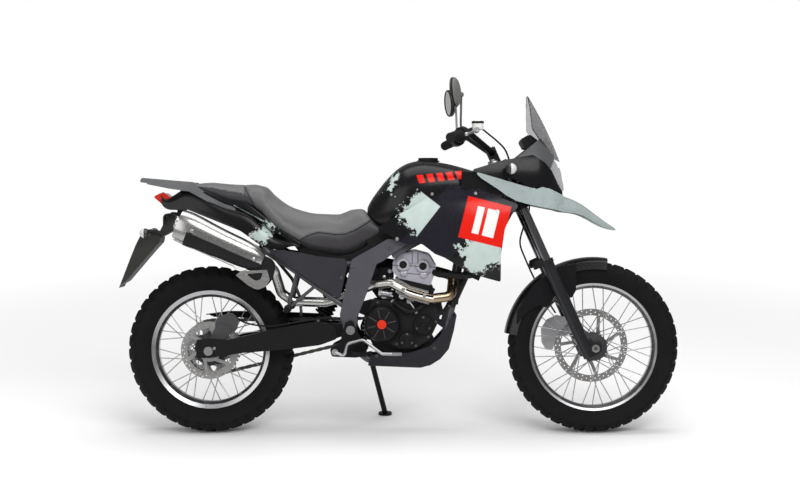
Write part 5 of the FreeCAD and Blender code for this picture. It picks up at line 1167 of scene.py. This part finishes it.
def brake_reservoir():
    """Box for the brake fluid beside the hand lever, its lid and the lid's screws."""
    perch = bar_point(-1, PERCH_AT) + bar_out(-1) * PERCH_HALF
    centre = Matrix.Translation(perch + Vector((56, 4, 2))) @ LEVEL
    shell = block(20.6, 25.6, 9.4, [(-12.4, 1.4), (-11.2, 0), (10.6, 0), (11.6, 0.6)], centre)
    on_bars("reservoir_shell", [shell], RESERVOIR)
    lid = block(22.4, 27.4, 9.6, [(11.9, 0.6), (12.6, 0), (18.6, 0), (19.6, 1.2)], centre)
    on_bars("reservoir_lid", [lid], CLAMP_BLACK)
    screws = [socket_bolt(centre @ Vector((x, 0, 19.5)), LEVEL_UP, 2.6) for x in (-14, 14)]
    on_bars("reservoir_screws", screws, ZINC)


def mirror_glasses():
    """Glass and rolled rim on the rider's side of each mirror."""
    glass = [(49.5, 0.2), (49.5, 0.9), (48, 1.5), (30, 1.6), (THIN, 1.6)]
    rim = [(49.6, 0.2), (49.9, 2.4), (51.5, 3.2), (53.6, 2.2), (55.2, -0.6), (55.6, -3.2), (55.2, -9)]
    on_bars("mirror_glasses", [on_mirror(side, glass) for side in SIDES], MIRROR_GLASS)
    on_bars("mirror_rims", [on_mirror(side, rim) for side in SIDES], MATT_BLACK)


def fork_trim():
    """Dust seals on the sliders, caps and their nuts on top."""
    seal = [(25.6, 368), (26.4, 371), (26.4, 384), (25.2, 388), (23.6, 390), (19.3, 396), (19.2, 398)]
    cap = [(17, 799), (17, 806), (15.4, 808), (THIN, 808)]
    seals, caps_on_top = [], []
    for side in SIDES:
        seals.append(lathe(seal, (0, side * FORK_Y, 0), UP, 40))
        caps_on_top.append(lathe(cap, (0, side * FORK_Y, 0), UP, 32))
        caps_on_top.append(hex_bolt((0, side * FORK_Y, 807.6), UP, 10))
    on_bars("fork_seals", seals, GRIP_RUBBER)
    on_bars("fork_caps", caps_on_top, ALLOY)


def handlebar_clamps():
    """Half clamps with bolts over the bar."""
    tops, bolts = [], []
    for side in SIDES:
        bolts += [socket_bolt((14 + x, side * CLAMP_Y, 861), UP, 4.2) for x in (-11.5, 11.5)]
        place = Matrix.Translation((14, side * CLAMP_Y, 842))
        tops.append(block(17.6, 13.6, 3, [(1, 0), (16.5, 0), (19.6, 2.4)], place))
    on_bars("bar_clamps", tops, CLAMP_BLACK)
    on_bars("bar_clamp_bolts", bolts, ZINC)


hand_controls()
mirror_stalks()
brake_hoses()
grip_sleeves()
switchgear()
brake_reservoir()
mirror_glasses()
fork_trim()
handlebar_clamps()


# Lamps and cockpit

LAMP_CENTRE = (1338, 40, 1000)
LAMP_FORWARDS = Vector((0.912, 0, 0.41))
LAMP_UP = Vector((-0.41, 0, 0.912))
LAMP_RINGS = (0.01, 6, 12, 18, 24, 29, 32, 34)
LAMP_STEPS = 36
DIAL_FACING = (-24, 0, 36)
DIAL_CENTRE = Vector((1208, 0, 1134))
DIAL_FROM = 34


def lamp_rings():
    """Two round reflectors with rims, laid on the headlight's face."""
    tree = surface_tree("headlight")
    for side, word in ((-1, "right"), (1, "left")):
        centre = sided(Vector(LAMP_CENTRE), side)
        points = []
        for r in LAMP_RINGS:
            for k in range(LAMP_STEPS):
                turn = 2 * math.pi * k / LAMP_STEPS
                place = centre + Vector(LEFT) * r * math.cos(turn) + LAMP_UP * r * math.sin(turn)
                hit = tree.ray_cast(place + LAMP_FORWARDS * 200, -LAMP_FORWARDS)[0]
                points.append(hit + LAMP_FORWARDS * 0.8)
        gather("lamp_" + word, [(points, grid_faces(len(LAMP_RINGS), LAMP_STEPS))], REFLECTOR)
        ring = points[-LAMP_STEPS:]
        gather("lamp_rim_" + word, [sweep(ring + ring[:1], 1.8, 8)], CHROME)


def instrument_faces():
    """Dial and display on the instrument pod, facing the rider."""
    normal = Vector(DIAL_FACING).normalized()
    upwards = Matrix.Rotation(math.radians(90), 4, "Z")
    face = Matrix.Translation(DIAL_CENTRE + normal * 0.4) @ basis(normal) @ upwards
    bezel = block(74, 15, 6, [(-1, 0), (1.4, 0), (2.0, 0.8)], face)
    gather("instrument_bezel", [bezel], CLAMP_BLACK)
    display_at = face @ Matrix.Translation((-DIAL_FROM, 0, 0))
    display = block(30, 11, 2, [(1.6, 0), (2.5, 0), (2.7, 0.3)], display_at)
    gather("instrument_display", [display], DISPLAY)
    dial_at = face @ Matrix.Translation((DIAL_FROM, 0, 0))
    dial = block(28, 12.5, 12, [(1.6, 0), (2.4, 0), (2.6, 0.3)], dial_at)
    gather("instrument_dial", [dial], DIAL_WHITE)
    marks = []
    for i in range(11):
        turn = math.radians(200 - 22 * i)
        a = Vector((22 * math.cos(turn), 9 * math.sin(turn), 2.7))
        b = Vector((25.5 * math.cos(turn), 10.8 * math.sin(turn), 2.7))
        marks.append(sweep([dial_at @ a, dial_at @ ((a + b) / 2), dial_at @ b], 0.5, 4))
    hand = [dial_at @ Vector(place) for place in ((0, 0, 3.2), (-9, 4, 3.2), (-18, 7, 3.2))]
    marks.append(sweep(hand, 0.6, 5))
    gather("dial_marks", marks, CLAMP_BLACK)


lamp_rings()
instrument_faces()


# Engine, exhaust, radiator and body panels

CLUTCH = (660, 422)
# Radius from the clutch's middle and y of points along a rib
CLUTCH_RIB = ((22, -143.8), (38, -143.6), (56, -142.2))
HEADER_BOLTS = ((822, 531), (742, 556))
MUFFLER_FRONT = Vector((212, -180, 664))
MUFFLER_REAR = Vector((-106, -186, 806))
RADIATOR_FOOT = (1012, 0, 595)
RADIATOR_TILT = math.radians(24.9)
RADIATOR_FACE_X = 13.1
RADIATOR_HALF = 113.0
RADIATOR_HEIGHT = 200.0
FIN_ROWS = 12
FIN_FOLDS = 150
FIN_RANGE = (6.5, 193.5)


def outline_panel(corners, y0, y1, bevel=0.0):
    return prism(rounded_loop(corners), y0, y1, bevel)


def right_turned(profile, x, y, z, steps):
    """Turned part whose axis points to the right."""
    return lathe(profile, (x, y, z), RIGHT, steps)


def head_details():
    """Dark plugs, the gasket line and the arch line on the cam cover's right face."""
    tree = surface_tree("cylinder_head")
    plugs, bosses = [], []
    for x, z in ((741, 648), (817, 642)):
        rim = [(14.5, 0), (14.5, 1.2), (12.8, 1.6), (12, 0.8), (THIN, 0.8)]
        plugs.append(right_turned(rim, x, -88, z, 28))
        plugs.append(right_turned([(7, 0), (7, 3), (5.6, 3.6), (THIN, 3.6)], x, -88, z, 6))
        bosses.append(right_turned([(13, -6), (13, 6.5), (11, 8), (THIN, 8.4)], x + 3, -76, z - 33, 28))
    gather("head_plugs", plugs, MATT_BLACK)
    gather("head_bosses", bosses, CAM_GREY)
    outlines = [[(702, 646), (724, 645)], [(764, 644), (802, 641)], [(844, 639), (870, 638)],
                [(712, 658), (716, 672), (728, 688), (748, 697), (774, 700)],
                [(800, 699), (826, 692), (846, 678), (858, 660), (862, 650)],
                [(776, 650), (776, 696)], [(798, 650), (798, 695)],
                [(722, 628), (730, 620), (738, 616), (786, 612), (830, 608), (838, 612), (846, 620)]]
    gather("head_lines", [line_on(tree, outline, -1, 1.1, 3.0) for outline in outlines], MATT_BLACK)


def engine_fittings():
    """Unions, a sensor, hose clamps, an oil pipe and a water hose on the right of the engine."""
    clamp = [(10.4, -3.5), (11.4, -2.5), (11.4, 2.5), (10.4, 3.5)]
    fittings = [
        right_turned([(THIN, 0), (13, 0), (13, 6), (10, 7), (10, 16), (12, 17), (12, 22), (8, 24),
                      (THIN, 24)], 668, -58, 527, 24),
        lathe([(THIN, 0), (16, 0), (17.5, 2), (17.5, 13), (14, 15), (14, 42), (17, 44), (17, 52),
               (THIN, 52)], (646, -78, 541), (1, 0, -0.12), 24),
        right_turned([(10, 0), (10, 5), (7, 6), (7, 14), (THIN, 15)], 776, -73, 512, 6),
        right_turned([(13, -14), (13, 0), (11, 2), (11, 6), (8, 8), (THIN, 8)], 736, -88, 527, 24),
        right_turned([(9.5, -14), (9.5, 0), (7, 1.5), (7, 10), (THIN, 10)], 764, -96, 508, 20),
        tube([(764, -103, 508), (778, -106, 490), (790, -106, 468)], 4.5, 10, 6),
        right_turned([(7, -6), (7, 6), (5, 7.5), (THIN, 7.5)], 790, -104, 468, 6),
        lathe(clamp, (703, -90, 507), (0.6, -0.5, -0.6), 24),
        lathe(clamp, (840, -90, 526), (0.4, 0.3, 0.85), 24)]
    gather("engine_unions", fittings, ALLOY)
    pipe = [(668, -74, 530), (690, -88, 545), (724, -90, 532), (752, -86, 516), (776, -80, 506)]
    gather("oil_line", [tube(pipe, 3.6)], CLAMP_BLACK)
    hose = [(690, -80, 520), (716, -98, 496), (760, -106, 470), (800, -106, 482), (836, -92, 520),
            (856, -72, 556)]
    gather("water_hose", [tube(hose, 9, 16)], MATT_BLACK)


def seat_pan():
    """Black plastic pan that closes the gap between the seat and the covers below it."""
    low_edge = [(318, 744), (346, 724), (381, 707), (439, 691), (497, 682), (547, 690), (588, 712),
                (622, 737), (648, 762)]
    under = [(x, z - 30) for x, z in low_edge[:0:-1]] + [(318, 730)]
    gather("seat_pan", [prism(low_edge + under, -86, 86)], MATT_BLACK)


def shroud_brows():
    """Black panels between the tank's shroud and the upper fairing."""
    outline = [(962, 1000), (1012, 1001), (1060, 976), (1104, 952), (1126, 930), (1112, 914), (1060, 920),
               (1004, 930), (962, 940)]
    gather("shroud_brows", [prism(outline, side * 150, side * 155) for side in SIDES], PLAIN_BLACK)


def throttle_linkage():
    """Dark body of the throttle and its wiring between the head, the frame and the crankcase."""
    outline = [(620, 640, 6), (702, 640, 6), (706, 600, 10), (692, 520, 10), (650, 508, 10), (612, 560, 10)]
    parts = [outline_panel(outline, -52, 52, 4)]
    for x, z in ((640, 620), (664, 560), (684, 590)):
        parts.append(right_turned([(14, 0), (14, 8), (11, 12), (THIN, 12)], x, -50, z, 20))
    gather("throttle_linkage", parts, MATT_BLACK)
    knob = right_turned([(9, 0), (9, 5), (7, 7), (THIN, 7)], 690, -62, 622, 24)
    disc = right_turned([(7, 0), (7, 4), (5, 5), (THIN, 5)], 668, -64, 600, 24)
    gather("throttle_caps", [knob, disc], ALLOY)


def tank_skirts():
    """Black infill between the seat's nose, the tank and the frame's spar."""
    outline = [(604, 816, 6), (640, 800, 6), (700, 778, 6), (728, 756, 6), (708, 738, 6), (640, 712, 6),
               (604, 726, 6)]
    gather("tank_skirts", [outline_panel(outline, side * 89, side * 82) for side in SIDES], MATT_BLACK)


def down_tube_covers():
    """Black covers on the down tubes beside the radiator."""
    parts = []
    for side in SIDES:
        route = [(936, side * 60, 496), (942, side * 61, 560), (952, side * 60, 640), (972, side * 58, 712),
                 (1008, side * 52, 780)]
        parts.append(tube(route, 17, 20))
    gather("down_tube_covers", parts, TUBE_PAINT)


def header_guard():
    """Guard along the header's outer side with a dark line above it, held by two bolts."""
    route = [(856, -146, 520), (800, -147, 532), (752, -147, 548), (704, -138, 574)]
    gather("header_guard", [tube(route, 4.5, 8)], STEEL)
    gather("header_slot", [tube([(x, y + 1.5, z + 8) for x, y, z in route[:3]], 3, 8)], SOOT)
    gather("header_bolts", [hex_bolt((x, -148, z), RIGHT, 7) for x, z in HEADER_BOLTS], ZINC)


def tail_upper():
    """Upper part of the tail cowl, between its shell and the seat."""
    stations = [(-110, 924, 938, 83), (-32, 918, 938, 97), (60, 874, 912, 103), (140, 852, 894, 107),
                (204, 800, 852, 111), (291, 738, 786, 111), (350, 704, 742, 109)]
    gather("tail_upper", [hull(stations, 4.0)], PAINT)


def muffler_lobe():
    """Black lobe that closes over the link pipe, with a bright guard on its outer face."""
    outline = [(92, 690, 10), (150, 640, 10), (160, 590, 14), (192, 560, 14), (222, 566, 14), (248, 596, 20),
               (262, 640, 20), (246, 672, 20), (200, 690, 10)]
    gather("muffler_lobe", [outline_panel(outline, -206, -140, 5)], MATT_BLACK)
    guard = [(112, 612, 4), (132, 628, 4), (230, 632, 6), (241, 595, 10), (225, 568, 12), (192, 556, 12),
             (158, 574, 10)]
    window = [(150, 617, 6), (214, 621, 6), (206, 596, 8), (186, 590, 8)]
    gather("low_guard", [windowed_plate(guard, [window], -210, -206.4)], STEEL)
    trim = [(-112, -209, 744), (-104, -212, 738), (90, -208, 652), (112, -207, 640), (190, -204, 622)]
    gather("case_trim", [tube(trim, 2.6, 8)], STEEL)


def engine_plates():
    """Plate with two windows between each down tube and the front of the engine."""
    outline = [(868, 508, 8), (944, 556, 10), (954, 544, 6), (940, 500, 0), (914, 430, 10), (898, 402, 8),
               (866, 424, 20)]
    windows = [[(888, 502, 5), (920, 524, 5), (914, 496, 5), (896, 468, 5)],
               [(882, 452, 4), (896, 456, 4), (890, 430, 4), (880, 434, 4)]]
    parts = [windowed_plate(outline, windows, side * 56, side * 64) for side in SIDES]
    gather("engine_plates", parts, GUARD_GREY)


def barrel_jacket():
    """Smooth jacket round the cylinder and the sump below the crankcase."""
    jacket = [(698, 486, 4), (712, 600, 8), (854, 570, 8), (858, 486, 4)]
    sump = [(606, 380, 10), (640, 300, 20), (840, 292, 30), (868, 350, 20), (850, 380, 10)]
    parts = [outline_panel(jacket, -74, 74, 3), outline_panel(sump, -58, 58, 6)]
    gather("barrel_jacket", parts, ENGINE_BLACK)


def clutch_cover():
    """Domed cover with a red badge and eight ribs that run out from it, the ribs lighter grey than the cover
    as a painted highlight.
    """
    x, z = CLUTCH
    dome = right_turned([(60, -1), (58, 1.5), (50, 2.6), (30, 3.4), (THIN, 3.6)], x, -140.6, z, 64)
    gather("clutch_dome", [dome], COVER_BLACK)
    ribs = []
    for i in range(8):
        turn = math.radians(45 * i + 14)
        spots = [(x + r * math.cos(turn), y, z + r * math.sin(turn)) for r, y in CLUTCH_RIB]
        ribs.append(sweep(spots, 2.4, 10))
    # Ribs in lighter grey: painted highlight.
    gather("clutch_ribs", ribs, RIB_GREY_PAINTED_HIGHLIGHT)
    badge = right_turned([(17.6, 0), (17.6, 2.2), (16.6, 3.4), (12, 3.9), (THIN, 4.0)], x, -143.4, z, 40)
    gather("clutch_badge", [badge], RED_PAINT)


def muffler_outlet():
    """Stepped outlet in the muffler's end cap."""
    axis = (MUFFLER_REAR - MUFFLER_FRONT).normalized()
    ring = [(47, -1), (46, 1.2), (38, 2.0), (30, 1.6), (25, 3.4), (23.4, 9), (22, 9.4), (21, 8), (20.6, -1)]
    gather("muffler_outlet", [lathe(ring, MUFFLER_REAR, axis, 48)], STEEL)
    gather("muffler_bore", [lathe([(20.6, 0.6), (12, 0.4), (THIN, 0.3)], MUFFLER_REAR, axis, 40)], SOOT)


def radiator_fins():
    """Folded fins between the radiator's tubes, on its front and back."""
    place = Matrix.Translation(RADIATOR_FOOT) @ Matrix.Rotation(RADIATOR_TILT, 4, "Y")
    pitch = RADIATOR_HEIGHT / FIN_ROWS
    points, faces = [], []
    for side in (1, -1):
        for row in range(FIN_ROWS):
            low = max(row * pitch + 3.6, FIN_RANGE[0])
            high = min((row + 1) * pitch - 0.6, FIN_RANGE[1])
            base = len(points)
            for i in range(FIN_FOLDS + 1):
                y = -RADIATOR_HALF + 2 * RADIATOR_HALF * i / FIN_FOLDS
                x = side * (RADIATOR_FACE_X + (1.3 if i % 2 else 0.1))
                points += [place @ Vector((x, y, z)) for z in (low, high)]
            faces += [(a, a + 2, a + 3, a + 1) for a in range(base, base + 2 * FIN_FOLDS, 2)]
    gather("radiator_fins", [(points, faces)], FIN_METAL)


head_details()
engine_fittings()
seat_pan()
shroud_brows()
throttle_linkage()
tank_skirts()
down_tube_covers()
header_guard()
tail_upper()
muffler_lobe()
engine_plates()
barrel_jacket()
clutch_cover()
muffler_outlet()
radiator_fins()


# Bolts: name, material, nodes, shape, then (x, z, radius) places on both sides and on single sides

CASE_BOLTS = [math.radians(40 * i + 10) for i in range(9)]
CASE_BOLTS_OUT = 73
BOLTS = [
    ("frame_bolts", BOLT_GREY, "frame", hex_bolt,
     [(545, 640, 5), (690, 712, 5), (918, 490, 7), (918, 440, 5)], []),
    ("shroud_bolts", ZINC, "shrouds fuel_tank", socket_bolt,
     [(718, 747, 5), (851, 917, 4.5), (1015, 920, 4.5), (1096, 852, 4.5)], []),
    ("cover_bolts", BOLT_GREY, "side_covers", socket_bolt, [(507, 600, 5)], []),
    ("muffler_bolts", ZINC, "muffler muffler_case heat_shield", hex_bolt, [],
     [(-50, 777, -1, 7), (181, 671, -1, 7), (730, 567, -1, 7), (822, 541, -1, 7)]),
    ("engine_bolts", BOLT_GREY, "crankcase engine_covers", socket_bolt, [],
     [(644, 504, -1, 4), (700, 502, -1, 4), (760, 506, -1, 4), (716, 346, -1, 4), (790, 338, -1, 4),
      (838, 372, -1, 4), (866, 430, -1, 4), (818, 448, -1, 3.4), (794, 406, -1, 3.4), (842, 406, -1, 3.4),
      (756, 384, -1, 3.4), (737, 351, -1, 3.4), (775, 351, -1, 3.4), (700, 424, 1, 4), (828, 424, 1, 4),
      (764, 488, 1, 4), (764, 360, 1, 4)]),
    ("case_bolts", CLAMP_BLACK, "engine_covers", socket_bolt, [],
     [(CLUTCH[0] + CASE_BOLTS_OUT * math.cos(turn), CLUTCH[1] - CASE_BOLTS_OUT * math.sin(turn), -1, 3.8)
      for turn in CASE_BOLTS]),
    ("guard_bolts", BOLT_GREY, "belly_guard", socket_bolt, [(640, 300, 5), (860, 330, 5)], []),
    ("arm_bolts", ZINC, "swingarm", hex_bolt, [(414, 433, 6), (22, 330, 5)], []),
    ("fairing_bolts", CLAMP_BLACK, "fairing", socket_bolt, [(1250, 960, 4.5)], []),
]

for bolts_name, metal, bolted, bolt_shape, on_both, on_one in BOLTS:
    pairs = [(x, z, side, r) for x, z, r in on_both for side in SIDES]
    bolt_row(bolts_name, metal, bolted, pairs + on_one, bolt_shape)


# Light, floor and background

LIGHTS = [
    ("key", (1.2, -3.2, 3.6), (0, 0, 0.6), (3.2, 2.0), 110),
    ("fill", (-2.6, -3.0, 1.8), (0, 0, 0.6), (2.4, 2.4), 35),
    ("top", (0, 0.4, 4.2), (0, 0, 0.5), (4.0, 3.0), 110),
]
WORLD_LEVEL = 0.45
WORLD_IN_MIRRORS = 0.25
FLOOR_HALF = 30
FLOOR_FADE = (1.6, 3.2)
FLOOR_GLOW_UNSEEN = 0.4


def add_lights():
    for name, place, target, size, power in LIGHTS:
        data = bpy.data.lights.new(name, "AREA")
        data.shape = "RECTANGLE"
        data.size, data.size_y = size
        data.energy = power
        light = linked(name, data)
        light.location = place
        light.rotation_mode = "QUATERNION"
        light.rotation_quaternion = (Vector(target) - Vector(place)).to_track_quat("-Z", "Y")


def add_world():
    """White where the camera sees it, softer as a light and softer still in reflections."""
    world = bpy.data.worlds.new("studio")
    bpy.context.scene.world = world
    world.use_nodes = True
    nodes, links = world.node_tree.nodes, world.node_tree.links
    path = nodes.new("ShaderNodeLightPath")
    seen = nodes.new("ShaderNodeMath")
    seen.operation = "MAXIMUM"
    links.new(path.outputs["Is Camera Ray"], seen.inputs[0])
    links.new(path.outputs["Is Transmission Ray"], seen.inputs[1])
    mirrored = nodes.new("ShaderNodeMapRange")
    mirrored.inputs["To Min"].default_value = WORLD_LEVEL
    mirrored.inputs["To Max"].default_value = WORLD_IN_MIRRORS
    links.new(path.outputs["Is Glossy Ray"], mirrored.inputs["Value"])
    level = nodes.new("ShaderNodeMapRange")
    level.inputs["To Max"].default_value = 1.0
    links.new(mirrored.outputs["Result"], level.inputs["To Min"])
    links.new(seen.outputs[0], level.inputs["Value"])
    background = nodes["Background"]
    background.inputs["Color"].default_value = (1, 1, 1, 1)
    links.new(level.outputs["Result"], background.inputs["Strength"])


def add_floor():
    """White floor that turns into plain white light away from the machine."""
    f = Finish("floor_white", {"Base Color": (0.9, 0.9, 0.9), "Roughness": 0.7, "Specular IOR Level": 0.1})
    length = f.node("VectorMath", {0: f.coords}, operation="LENGTH").outputs["Value"]
    path = f.node("LightPath", {})
    seen = f.calc("MAXIMUM", path.outputs["Is Camera Ray"], path.outputs["Is Transmission Ray"])
    strength = f.spread(seen, FLOOR_GLOW_UNSEEN, 1.0, 0, 1)
    glow = f.node("Emission", {"Color": (1, 1, 1), "Strength": strength})
    far = f.spread(length, 0, 1, *FLOOR_FADE)
    mixed = f.node("MixShader", {0: far, 1: f.shader.outputs[0], 2: glow.outputs[0]})
    f.links.new(mixed.outputs[0], f.nodes["Material Output"].inputs["Surface"])
    h = FLOOR_HALF
    mesh = bpy.data.meshes.new("floor")
    mesh.from_pydata([(-h, -h, 0), (h, -h, 0), (h, h, 0), (-h, h, 0)], [], [(0, 1, 2, 3)])
    mesh.materials.append(f.material)
    linked("floor", mesh)


add_lights()
add_world()
add_floor()

bpy.context.scene.view_settings.view_transform = "Standard"
